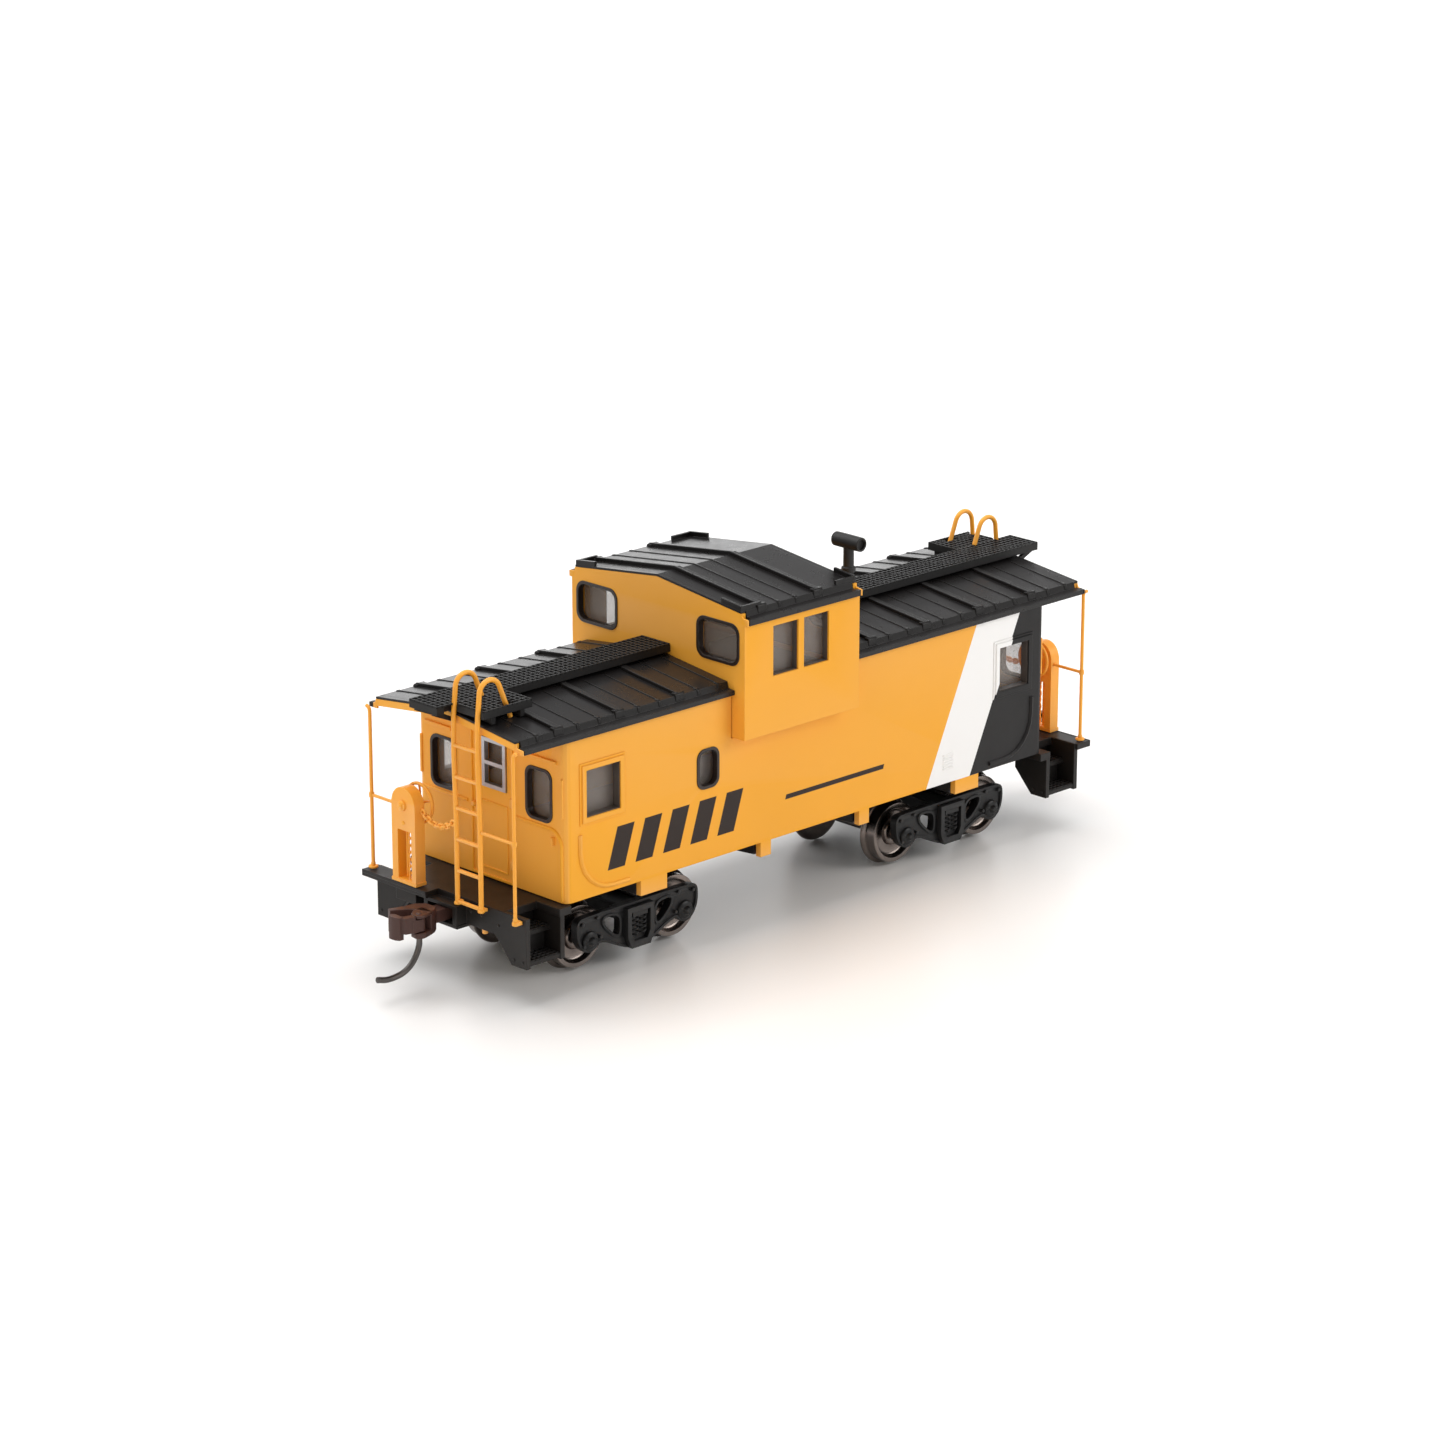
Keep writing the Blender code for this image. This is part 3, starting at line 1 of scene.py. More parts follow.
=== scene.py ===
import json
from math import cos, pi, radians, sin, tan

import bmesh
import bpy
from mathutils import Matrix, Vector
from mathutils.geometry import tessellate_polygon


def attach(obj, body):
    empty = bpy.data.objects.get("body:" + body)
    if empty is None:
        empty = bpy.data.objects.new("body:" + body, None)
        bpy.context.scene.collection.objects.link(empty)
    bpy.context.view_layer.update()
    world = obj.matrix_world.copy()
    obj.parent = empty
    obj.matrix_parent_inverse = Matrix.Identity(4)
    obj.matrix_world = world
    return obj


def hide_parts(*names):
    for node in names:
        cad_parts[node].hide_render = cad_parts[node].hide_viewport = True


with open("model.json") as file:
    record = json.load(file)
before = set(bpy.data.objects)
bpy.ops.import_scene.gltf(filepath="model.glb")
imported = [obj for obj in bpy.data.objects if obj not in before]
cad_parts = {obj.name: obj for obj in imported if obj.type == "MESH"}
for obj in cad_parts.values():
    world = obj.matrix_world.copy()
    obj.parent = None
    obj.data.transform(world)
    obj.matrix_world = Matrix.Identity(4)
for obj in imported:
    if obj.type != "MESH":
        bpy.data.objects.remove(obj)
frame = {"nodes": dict(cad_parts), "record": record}        # bodies, nodes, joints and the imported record

# Finish and fine detail for the HO scale wide-vision caboose.
#
# The CAD frame gives every flat-walled moulding. This script adds the relief that is too fine for CAD, stands
# smooth pieces in for the round ones, and paints everything with node materials. Shapes are in millimetres
# until add() turns them into metres. Materials, lights and the camera are in metres. The two ends of the
# car are one moulding turned half a turn, so end pieces are drawn for the -X end and turned for the other.

MM = 0.001
scene = bpy.context.scene
NEAR, FAR = "near", "far"
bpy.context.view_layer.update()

# Body and roof, as in the CAD
BODY_X = 51.6
BODY_Y = 16.2
DECK_TOP = 13.8
PITCH = 0.12
ROOF_EDGE = (15.35, 40.65)
CUPOLA_X = (-17.9, 6.5)
CUPOLA_Y = 18.87
CUPOLA_EDGE = (18.1, 51.95)
WALK_TOP = 43.75
WALK_HALF = 3.05
WALK_END = 64.4
WALK_PLATFORM = ((-61.0, -51.6), (-9.3, -3.1))
SMOKE_JACK = (11.0, -12.1, 56.0)

# Ladder, rails and brake stand at the -X end
LADDER_X = -61.0
LADDER_STILES = (-2.95, -8.15)
ARCH_CENTRE = (-58.75, 46.0)
ARCH_RADIUS = 2.0
ARCH_LEG_HOLE = (-56.45, -54.45)
LEG_LEAN = 22.0
LADDER_LEAN = 0.25
POST_X = -61.0
POST_Y = {1: 16.1, -1: 15.55}
RAIL_Z = 25.4
STAND_X = (-62.3, -60.4)
STAND_Y = (4.85, 10.1)
BRAKE_WHEEL = (-59.55, 6.95, 26.0)
SHELF_FACE = -60.05

# Coupler and truck
COUPLER_Z = 11.2
COUPLER_PIVOT_X = -54.5
KNUCKLE_PIVOT = (-67.4, -1.7)
HEAD_BOTTOM, HEAD_TOP = 9.3, 12.85
TRUCK_X = 34.0
HALF_WHEELBASE = 9.7
AXLE_Z = 5.45

# Edges sharper than these angles are rounded, or keep a crease
BEVEL_ANGLE = 32
CREASE_ANGLE = 38
CAD_CREASE_ANGLE = 30

ON_AXIS = 1e-6
SHORTEST_BAR = 0.2
LINK_STEPS = 14
HELIX_STEPS = 14


# ---- shapes

def box(x, y, z):
    """A block between two limits on each axis."""
    builder = bmesh.new()
    bmesh.ops.create_cube(builder, size=1.0)
    size = Vector([abs(high - low) for low, high in (x, y, z)])
    centre = Vector([(low + high) / 2 for low, high in (x, y, z)])
    builder.transform(Matrix.Translation(centre) @ Matrix.Diagonal(size.to_4d()))
    return builder


def placer(axis):
    """How an outline's two numbers and the distance along the axis become a point."""
    return {
        "x": lambda a, b, c: (c, a, b),
        "y": lambda a, b, c: (a, c, b),
        "z": lambda a, b, c: (a, b, c),
    }[axis]


def pairs(items, closed=True):
    """Each item with the next one, and the last with the first if closed."""
    return zip(items, items[1:] + (items[:1] if closed else []))


def bridge(builder, here, there):
    """A strip of faces between two closed loops with the same number of points."""
    count = len(here)
    for index in range(count):
        after = (index + 1) % count
        builder.faces.new((here[index], here[after], there[after], there[index]))


def prism(outline, axis, low, high):
    """An outline drawn out along an axis."""
    place = placer(axis)
    builder = bmesh.new()
    face = builder.faces.new([builder.verts.new(place(a, b, low)) for a, b in outline])
    drawn = bmesh.ops.extrude_face_region(builder, geom=[face])["geom"]
    moved = [item for item in drawn if isinstance(item, bmesh.types.BMVert)]
    bmesh.ops.translate(builder, verts=moved, vec=Vector(place(0.0, 0.0, high - low)))
    return builder


def ring(outer, inner, axis, low, high):
    """The band between two outlines with the same number of points."""
    place = placer(axis)
    builder = bmesh.new()
    loops = []
    for outline, level in ((outer, low), (outer, high), (inner, high), (inner, low)):
        loops.append([builder.verts.new(place(a, b, level)) for a, b in outline])
    for here, there in pairs(loops):
        bridge(builder, here, there)
    return builder


def plate(outline, holes, axis, low, high):
    """A flat piece with openings right through it."""
    place = placer(axis)
    builder = bmesh.new()
    loops = [outline] + holes
    flat = [[Vector((a, b, 0.0)) for a, b in loop] for loop in loops]
    corners = [point for loop in loops for point in loop]
    sheets = [[builder.verts.new(place(a, b, level)) for a, b in corners] for level in (low, high)]
    for sheet in sheets:
        for triangle in tessellate_polygon(flat):
            builder.faces.new([sheet[index] for index in triangle])
    start = 0
    for loop in loops:
        end = start + len(loop)
        bridge(builder, sheets[0][start:end], sheets[1][start:end])
        start = end
    return builder


def softened(outline, rounds=2, share=0.22):
    """An outline with its corners cut off, again and again."""
    for _ in range(rounds):
        cut = []
        for here, after in pairs(outline):
            for weight in (share, 1 - share):
                cut.append(tuple(a + (b - a) * weight for a, b in zip(here, after)))
        outline = cut
    return outline


def shrunk(outline, by):
    """An outline drawn in by a distance, or out if by is negative."""
    area = sum(a[0] * b[1] - b[0] * a[1] for a, b in pairs(outline))
    turn = 1 if area > 0 else -1
    moved = []
    for before, here, after in zip(outline[-1:] + outline[:-1], outline, outline[1:] + outline[:1]):
        along = (Vector(here) - Vector(before)).normalized() + (Vector(after) - Vector(here)).normalized()
        along.normalize()
        moved.append((here[0] - turn * by * along.y, here[1] + turn * by * along.x))
    return moved


def circle(steps):
    """Evenly spaced angles once round."""
    return [2 * pi * step / steps for step in range(steps)]


def arc(centre, radius, start, end, steps):
    """Points on a circle between two angles in degrees."""
    points = []
    for step in range(steps + 1):
        angle = radians(start + (end - start) * step / steps)
        points.append((centre[0] + radius * cos(angle), centre[1] + radius * sin(angle)))
    return points


def rounded(a, b, radius, steps=6):
    """The outline of a rectangle with round corners."""
    (a0, a1), (b0, b1) = a, b
    return (
        arc((a1 - radius, b0 + radius), radius, -90, 0, steps)
        + arc((a1 - radius, b1 - radius), radius, 0, 90, steps)
        + arc((a0 + radius, b1 - radius), radius, 90, 180, steps)
        + arc((a0 + radius, b0 + radius), radius, 180, 270, steps)
    )


def grown(limits, by):
    """A pair of limits moved apart, or together if by is negative."""
    return (limits[0] - by, limits[1] + by)


def rect_ring(a, b, radius, inset, axis, low, high):
    """A frame of even width inside a rounded rectangle."""
    outer = rounded(a, b, radius)
    inner = rounded(grown(a, -inset), grown(b, -inset), max(radius - inset * 0.6, 0.05))
    return ring(outer, inner, axis, low, high)


def lathe(profile, axis, centre, steps=48):
    """A closed (radius, along) profile turned about an axis. A radius of 0 closes on the axis."""
    builder = bmesh.new()
    rings = []
    angles = circle(steps)
    for r, along in profile:
        if r < ON_AXIS:
            rings.append([builder.verts.new((0, 0, along))])
        else:
            rings.append([builder.verts.new((r * cos(a), r * sin(a), along)) for a in angles])
    for here, there in pairs(rings, closed=profile[0][0] > ON_AXIS):
        for step in range(steps):
            after = (step + 1) % steps
            around = ((here, step), (here, after), (there, after), (there, step))
            corners = list(dict.fromkeys(loop[index % len(loop)] for loop, index in around))
            if len(corners) > 2:
                builder.faces.new(corners)
    turn = {
        "x": Matrix.Rotation(pi / 2, 4, "Y"),
        "y": Matrix.Rotation(-pi / 2, 4, "X"),
        "z": Matrix(),
    }[axis]
    builder.transform(Matrix.Translation(Vector(centre)) @ turn)
    return builder


def disc(radius, axis, centre, low, high, steps=32, soft=0.12):
    """A solid round with softened rims."""
    soft = min(soft, radius * 0.4, (high - low) * 0.4)
    bulge = soft * 0.3
    profile = [
        (0, low), (radius - soft, low), (radius - bulge, low + bulge), (radius, low + soft),
        (radius, high - soft), (radius - bulge, high - bulge), (radius - soft, high), (0, high),
    ]
    return lathe(profile, axis, centre, steps)


def swept(points, radius, sides=14, closed=False):
    """A round bar along a line of points."""
    builder = bmesh.new()
    path = [Vector(point) for point in points]
    count = len(path)
    tangents = []
    for index in range(count):
        before = path[index - 1] if closed or index else path[0]
        after = path[(index + 1) % count] if closed or index < count - 1 else path[-1]
        tangents.append((after - before).normalized())
    side = tangents[0].orthogonal().normalized()
    rings = []
    for point, tangent in zip(path, tangents):
        side = (side - side.dot(tangent) * tangent).normalized()
        up = tangent.cross(side)
        around = [radius * (cos(angle) * side + sin(angle) * up) for angle in circle(sides)]
        rings.append([builder.verts.new(point + offset) for offset in around])
    for here, there in pairs(rings, closed):
        bridge(builder, here, there)
    if not closed:
        for loop in (rings[0], rings[-1]):
            builder.faces.new(loop)
    return builder


def smooth_path(points, steps=5):
    """A Catmull-Rom line through the points."""
    path = [Vector(p) for p in points]
    path = [path[0] * 2 - path[1]] + path + [path[-1] * 2 - path[-2]]
    line = []
    for a, b, c, d in zip(path, path[1:], path[2:], path[3:]):
        for step in range(steps):
            t = step / steps
            point = 2 * b + (c - a) * t
            point += (2 * a - 5 * b + 4 * c - d) * t * t
            point += (3 * b - a - 3 * c + d) * t ** 3
            line.append(0.5 * point)
    return line + [path[-2]]


def link(centre, along, across, length, width, wire):
    """One oval chain link in the plane of two directions."""
    centre = Vector(centre)
    along = Vector(along).normalized()
    across = Vector(across).normalized()
    points = []
    for angle in circle(LINK_STEPS):
        reach = length / 2 * cos(angle)
        rise = width / 2 * sin(angle)
        points.append(centre + along * reach + across * rise)
    return swept(points, wire, sides=8, closed=True)


def spans(low, high, gaps):
    """What is left of a stretch once the gaps are taken out."""
    left = [(low, high)]
    for start, end in gaps:
        kept = []
        for a, b in left:
            if end <= a or start >= b:
                kept.append((a, b))
                continue
            if start > a:
                kept.append((a, start))
            if end < b:
                kept.append((end, b))
        left = kept
    return [(a, b) for a, b in left if b - a > SHORTEST_BAR]


def bars(run, cross, holes, pitch, bar):
    """The limits of each bar across a run, with each stretch of it that the holes leave."""
    reach = run[1] - run[0] - bar
    count = round(reach / pitch)
    for index in range(count + 1):
        centre = run[0] + bar / 2 + reach * index / count
        width = (centre - bar / 2, centre + bar / 2)
        gaps = [other for own, other in holes if own[0] < width[1] and own[1] > width[0]]
        for span in spans(*cross, gaps):
            yield width, span


def lattice(x, y, z, pitch, bar, holes=()):
    """Crossed bars over a rectangle, left out over each hole. The lengthwise bars lie a little lower."""
    lower = (z[0], z[1] - 0.03)
    turned = [(hole_y, hole_x) for hole_x, hole_y in holes]
    shapes = [box(width, span, z) for width, span in bars(x, y, holes, pitch, bar)]
    return shapes + [box(span, width, lower) for width, span in bars(y, x, turned, pitch, bar)]


def roof_z(y, edge=ROOF_EDGE):
    """The height of a roof's slope at a distance from its ridge."""
    return edge[1] + PITCH * (edge[0] - abs(y))


# ---- pieces

def new_object(name, data):
    """An object in the scene."""
    obj = bpy.data.objects.new(name, data)
    scene.collection.objects.link(obj)
    return obj


def add(name, shapes, finish, body="car", end=NEAR, replaces=(), bevel=0.0, origin=(0, 0, 0)):
    """Joins shapes into one piece with a finish, turns it to its end and sets it on its body."""
    whole = bmesh.new()
    for shape in shapes:
        shape.normal_update()
        bmesh.ops.recalc_face_normals(shape, faces=shape.faces)
        part = bpy.data.meshes.new("part")
        shape.to_mesh(part)
        shape.free()
        whole.from_mesh(part)
        bpy.data.meshes.remove(part)
    turn = Matrix.Rotation(pi, 4, "Z") if end == FAR else Matrix()
    centre = Vector(origin)
    whole.transform(Matrix.Translation(-centre))
    whole.transform(Matrix.Scale(MM, 4))
    mesh = bpy.data.meshes.new(name)
    whole.to_mesh(mesh)
    whole.free()
    mesh.materials.append(finishes[finish])
    obj = new_object(name, mesh)
    obj.matrix_world = turn @ Matrix.Translation(centre * MM)
    bpy.context.view_layer.update()
    if bevel:
        rounding = obj.modifiers.new("rounding", "BEVEL")
        rounding.width = bevel * MM
        rounding.segments = 2
        rounding.limit_method = "ANGLE"
        rounding.angle_limit = radians(BEVEL_ANGLE)
    mesh.shade_smooth()
    mesh.set_sharp_from_angle(angle=radians(CREASE_ANGLE))
    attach(obj, body)
    if replaces:
        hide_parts(*replaces)


def stand_in(node, shapes, finish, **settings):
    """A piece that takes a CAD node's place."""
    add(f"{node}_detail", shapes, finish, replaces=(node,), **settings)


# ---- finishes

FLOW_SCALE = 45.0
SMEAR_SCALE = 420.0
SPECK_SCALE = 5200.0
TARNISH_SCALE = 380.0
METAL_SPECK_SCALE = 6000.0
TURNING_MARKS = 38000.0
PLASTIC_RELIEF = 0.00003
METAL_RELIEF = 0.00001
EDGE_POINTINESS = 0.52
EDGE_GAIN = 9.0
GLOW_RADIUS = (0.0012, 0.0007, 0.0003)


class Nodes:
    """A short way to write a node tree."""

    def __init__(self, material):
        self.tree = material.node_tree
        self.shader = self.tree.nodes["Principled BSDF"]

    def add(self, kind, **settings):
        node = self.tree.nodes.new(kind)
        for key, value in settings.items():
            setattr(node, key, value)
        return node

    def put(self, node, values):
        """Gives a node's inputs their values, or links them where the value is a socket."""
        for key, value in values.items():
            if isinstance(value, bpy.types.NodeSocket):
                self.tree.links.new(value, node.inputs[key])
            else:
                node.inputs[key].default_value = value

    def math(self, operation, *values, clamp=False):
        node = self.add("ShaderNodeMath", operation=operation, use_clamp=clamp)
        self.put(node, dict(enumerate(values)))
        return node.outputs[0]

    def times(self, a, b):
        return self.math("MULTIPLY", a, b)

    def noise(self, position, scale, detail=3.0, roughness=0.5):
        node = self.add("ShaderNodeTexNoise")
        self.put(node, {"Vector": position, "Scale": scale, "Detail": detail, "Roughness": roughness})
        return node.outputs["Fac"]

    def between(self, factor, low, high):
        """factor from 0 to 1 spread over low to high."""
        node = self.add("ShaderNodeMapRange")
        self.put(node, {"Value": factor, "To Min": low, "To Max": high})
        return node.outputs["Result"]

    def mix(self, factor, a, b):
        node = self.add("ShaderNodeMix", data_type="RGBA")
        self.put(node, {"Factor": factor, "A": a, "B": b})
        return node.outputs["Result"]

    def position(self):
        return self.add("ShaderNodeTexCoord").outputs["Object"]

    def split(self, vector):
        node = self.add("ShaderNodeSeparateXYZ")
        self.put(node, {"Vector": vector})
        return node.outputs["X"], node.outputs["Y"], node.outputs["Z"]

    def inside(self, value, low, high, edge=0.00004):
        """1 where value lies between low and high, with a thin soft edge."""
        above = self.math("DIVIDE", self.math("SUBTRACT", value, low), edge, clamp=True)
        below = self.math("DIVIDE", self.math("SUBTRACT", high, value), edge, clamp=True)
        return self.times(above, below)

    def relief(self, height, depth, strength, radius):
        """Fine relief from a height, over edges rounded by the given radius."""
        bump = self.add("ShaderNodeBump")
        self.put(bump, {"Strength": strength, "Distance": depth, "Height": height})
        if radius:
            rounding = self.add("ShaderNodeBevel", samples=6)
            self.put(rounding, {"Radius": radius})
            self.put(bump, {"Normal": rounding.outputs["Normal"]})
        self.put(self.shader, {"Normal": bump.outputs["Normal"]})


def opaque(colour):
    """A colour with full alpha."""
    return (*colour, 1.0)


def edge_highlight(nodes):
    """1 on convex edges, where a paler colour is painted on as a highlight."""
    pointed = nodes.add("ShaderNodeNewGeometry").outputs["Pointiness"]
    return nodes.math("MULTIPLY", nodes.math("SUBTRACT", pointed, EDGE_POINTINESS), EDGE_GAIN, clamp=True)


def new_material(name):
    """A material and its nodes."""
    material = bpy.data.materials.new(name)
    material.use_nodes = True
    return material, Nodes(material)


def plastic(name, colour, rough, grain=0.35, paler=0.12, radius=0.00012, shine=0.5, glow=0.0):
    """Moulded plastic: faint flow marks, a fine tool texture, uneven gloss and a painted highlight on convex
    edges, as strong as paler sets.
    """
    material, nodes = new_material(name)
    place = nodes.position()
    flow = nodes.noise(place, FLOW_SCALE, 4.0)
    speck = nodes.noise(place, SPECK_SCALE, 2.0)
    smear = nodes.noise(place, SMEAR_SCALE, 5.0, 0.62)
    dark = opaque(c * 0.93 for c in colour)
    light = opaque(min(c * 1.06 + 0.002, 1.0) for c in colour)
    edge = opaque(min(c + paler * (1 - c), 1.0) for c in colour)
    base = nodes.mix(flow, dark, light)
    # Convex edges are mixed towards a paler colour: a painted highlight.
    base = nodes.mix(nodes.times(edge_highlight(nodes), 0.6), base, edge)
    gloss = nodes.between(smear, rough - 0.07, rough + 0.09)
    nodes.put(nodes.shader, {
        "Base Color": base, "Roughness": gloss, "IOR": 1.5, "Specular IOR Level": shine,
    })
    if glow:
        nodes.put(nodes.shader, {
            "Subsurface Weight": glow, "Subsurface Radius": GLOW_RADIUS, "Subsurface Scale": 1.0,
        })
    nodes.relief(nodes.math("ADD", speck, nodes.times(smear, 0.6)), PLASTIC_RELIEF, grain, radius)
    return material


def metal(name, colour, rough, scratches=0.25, radius=0.00008, rings=False):
    """Plated or blackened metal, with turning marks if rings is set."""
    material, nodes = new_material(name)
    place = nodes.position()
    tarnish = nodes.noise(place, TARNISH_SCALE, 5.0, 0.6)
    speck = nodes.noise(place, METAL_SPECK_SCALE, 2.0)
    dark = opaque(c * 0.72 for c in colour)
    light = opaque(min(c * 1.2, 1.0) for c in colour)
    base = nodes.mix(tarnish, dark, light)
    gloss = nodes.between(tarnish, rough - 0.06, rough + 0.1)
    nodes.put(nodes.shader, {"Base Color": base, "Roughness": gloss, "Metallic": 1.0})
    height = speck
    if rings:
        x, _, z = nodes.split(place)
        square = nodes.math("ADD", nodes.times(x, x), nodes.times(z, z))
        turned = nodes.math("SINE", nodes.times(nodes.math("SQRT", square), TURNING_MARKS))
        height = nodes.math("ADD", nodes.times(turned, 0.5), speck)
    nodes.relief(height, METAL_RELIEF, scratches, radius)
    return material


# The livery, in metres on the long sides. Slants are metres along per metre up.
WALL_DEPTH = (0.01596, 0.030)
LIVERY_Z = (0.0139, 0.0600)
BAND_SLANT = (0.027, -0.45)
WHITE_BAND = (0.0305, 0.0600)
BLACK_BAND = (0.0405, 0.0700)
MARK_SLANT = (0.020, -0.32)
BAR_START = -0.0425
BAR_PITCH = 0.0056
BAR_SHARE = 0.62
BAR_COUNT = 5
BAR_Z = (0.0172, 0.0236)
STRIPE = (-0.0065, 0.0150)
STRIPE_Z = (0.0196, 0.0204)
MARK_COLOUR = (0.018, 0.009, 0.006)


def painted_body(name, yellow, white, black):
    """The yellow shell with its generic livery: a group of slanted bars, a pin stripe and two end bands."""
    material = plastic(name, yellow, 0.46, grain=0.3, paler=0.10, radius=0.00015, shine=0.3)
    nodes = Nodes(material)
    x, y, z = nodes.split(nodes.position())
    along = nodes.times(nodes.times(x, nodes.math("SIGN", y)), -1.0)

    def slanted(level, slant):
        return nodes.math("ADD", along, nodes.times(nodes.math("SUBTRACT", z, level), slant))

    outer = nodes.inside(nodes.math("ABSOLUTE", y), *WALL_DEPTH)
    wall = nodes.times(outer, nodes.inside(z, *LIVERY_Z))
    band = slanted(*BAND_SLANT)
    white_band = nodes.times(nodes.inside(band, *WHITE_BAND), wall)
    black_band = nodes.times(nodes.inside(band, *BLACK_BAND), wall)
    mark = slanted(*MARK_SLANT)
    bar = nodes.math("FRACT", nodes.math("DIVIDE", nodes.math("ADD", mark, -BAR_START), BAR_PITCH))
    bars = nodes.math("LESS_THAN", bar, BAR_SHARE)
    bars = nodes.times(bars, nodes.inside(mark, BAR_START, BAR_START + BAR_PITCH * BAR_COUNT))
    bars = nodes.times(bars, nodes.inside(z, *BAR_Z))
    stripe = nodes.times(nodes.inside(mark, *STRIPE), nodes.inside(z, *STRIPE_Z))
    marks = nodes.times(nodes.math("MAXIMUM", bars, stripe), outer)
    base = nodes.shader.inputs["Base Color"].links[0].from_socket
    base = nodes.mix(white_band, base, opaque(white))
    base = nodes.mix(black_band, base, opaque(black))
    base = nodes.mix(marks, base, opaque(MARK_COLOUR))
    nodes.put(nodes.shader, {"Base Color": base})
    return material


PANE_TINT = 0.27
PANE_DARK = (0.38, 0.33, 0.30)
PANE_LIGHT = (0.48, 0.43, 0.39)
FLOOR_DARK = (0.84, 0.835, 0.83)
FLOOR_LIGHT = (0.87, 0.865, 0.86)


def clear_plastic(name):
    """A thin smoky pane that turns solid at a glancing angle."""
    material, nodes = new_material(name)
    place = nodes.position()
    haze = nodes.noise(place, 160.0, 4.0)
    tint = nodes.mix(haze, opaque(PANE_DARK), opaque(PANE_LIGHT))
    gloss = nodes.between(haze, 0.04, 0.10)
    facing = nodes.add("ShaderNodeLayerWeight").outputs["Facing"]
    glance = nodes.math("POWER", facing, 5.0)
    cover = nodes.between(glance, PANE_TINT, 1.0)
    nodes.put(nodes.shader, {"Base Color": tint, "Roughness": gloss, "Alpha": cover})
    nodes.relief(nodes.noise(place, 90.0, 2.0), 0.00004, 0.12, 0.0)
    return material


def floor_finish():
    """Pale satin card with hardly any tone of its own."""
    material, nodes = new_material("studio_floor")
    tone = nodes.noise(nodes.position(), 6.0, 3.0)
    colour = nodes.mix(tone, opaque(FLOOR_DARK), opaque(FLOOR_LIGHT))
    nodes.put(nodes.shader, {"Base Color": colour, "Roughness": nodes.between(tone, 0.30, 0.36)})
    return material


YELLOW = (0.88, 0.385, 0.018)
WHITE = (0.88, 0.87, 0.86)
BLACK = (0.007, 0.006, 0.006)
# paler sets how strongly the painted edge highlight lightens each plastic.
PLASTICS = {
    "trim_yellow": (YELLOW, 0.46, dict(paler=0.10, radius=0.00008, shine=0.3)),
    "rail_yellow": ((0.92, 0.39, 0.028), 0.36, dict(grain=0.2, glow=0.08, radius=0.0, shine=0.4)),
    "roof_black": (BLACK, 0.28, dict(grain=0.03, paler=0.02, shine=0.22)),
    "walk_black": ((0.006, 0.0055, 0.0055), 0.46, dict(paler=0.02, shine=0.22)),
    "frame_black": ((0.011, 0.009, 0.008), 0.45, dict(paler=0.02, radius=0.0002, shine=0.24)),
    "truck_black": ((0.005, 0.005, 0.0055), 0.38, dict(paler=0.03, shine=0.28)),
    "jack_black": (BLACK, 0.45, dict(grain=0.8, paler=0.02, radius=0.0, shine=0.35)),
    "gasket": ((0.016, 0.008, 0.005), 0.34, dict(paler=0.02, radius=0.0, shine=0.4)),
    "pane_edge": ((0.075, 0.060, 0.052), 0.30, dict(paler=0.02, radius=0.0)),
    "coupler_brown": ((0.055, 0.020, 0.014), 0.42, dict(grain=0.6, paler=0.03, shine=0.35)),
}
METALS = {
    "sash_silver": ((0.50, 0.51, 0.53), 0.42, {}),
    "pin_metal": ((0.12, 0.11, 0.105), 0.34, dict(radius=0.0)),
    "screw_steel": ((0.50, 0.48, 0.46), 0.30, {}),
    "axle_steel": ((0.20, 0.18, 0.17), 0.30, dict(radius=0.0)),
    "wheel_metal": ((0.20, 0.17, 0.155), 0.22, dict(rings=True, radius=0.0)),
    "ballast_steel": ((0.45, 0.44, 0.42), 0.42, {}),
}


def make_finishes():
    """Every finish by name."""
    made = {"body_yellow": painted_body("body_yellow", YELLOW, WHITE, BLACK)}
    for name, (colour, rough, settings) in PLASTICS.items():
        made[name] = plastic(name, colour, rough, **settings)
    for name, (colour, rough, settings) in METALS.items():
        made[name] = metal(name, colour, rough, **settings)
    made["clear_plastic"] = clear_plastic("clear_plastic")
    return made


finishes = make_finishes()


def dress(node, finish):
    """Gives a CAD node its finish."""
    obj = frame["nodes"][node]
    obj.data.materials.clear()
    obj.data.materials.append(finishes[finish])
    obj.data.shade_smooth()
    obj.data.set_sharp_from_angle(angle=radians(CAD_CREASE_ANGLE))


def dress_all_nodes():
    """Every node takes its slot's finish. The cupola is yellow all over, with no livery."""
    for entry in frame["record"]["subparts"]:
        dress(entry["node"], entry["material_slot"])
    dress("cupola_shell", "trim_yellow")


# ---- roofs

ROOF_LIMITS = {"roof_near": (-59.2, -18.3), "roof_far": (6.9, 59.2)}
HEAVY_RIBS = {"roof_near": (-52.0, -39.9, -27.8), "roof_far": (13.1, 25.2, 37.3, 49.4)}
RIB_PITCH = 12.1
THIN_STEPS = (3.7, 7.9)
CUPOLA_RIBS = (-13.6, -1.8)
CUPOLA_THIN = (-10.0, -6.4)

# A heavy rib is two ridges, each given as its shift along the car and its height.
ROOF_PAIR = ((-0.55, 0.5), (0.35, 0.34))
CUPOLA_PAIR = ((-0.5, 0.55), (0.4, 0.34))
RIDGE_WIDTH = 0.42
CAP_WIDTH = 1.9
RIB_ROOT = 0.2
WALK_CLEAR = 3.5


def rib(x, width, height, edge, inner=0):
    """One ridge across both slopes, left open over the roof walk when inner is set."""
    reach = edge[0] - 0.1
    if inner:
        runs = ((inner, reach), (-inner, -reach))
    else:
        runs = ((-reach, 0, reach),)
    shapes = []
    for run in runs:
        low = [(y, roof_z(y, edge) - RIB_ROOT) for y in run]
        outline = low + [(y, z + RIB_ROOT + height) for y, z in reversed(low)]
        shapes.append(prism(outline, "x", x - width / 2, x + width / 2))
    return shapes


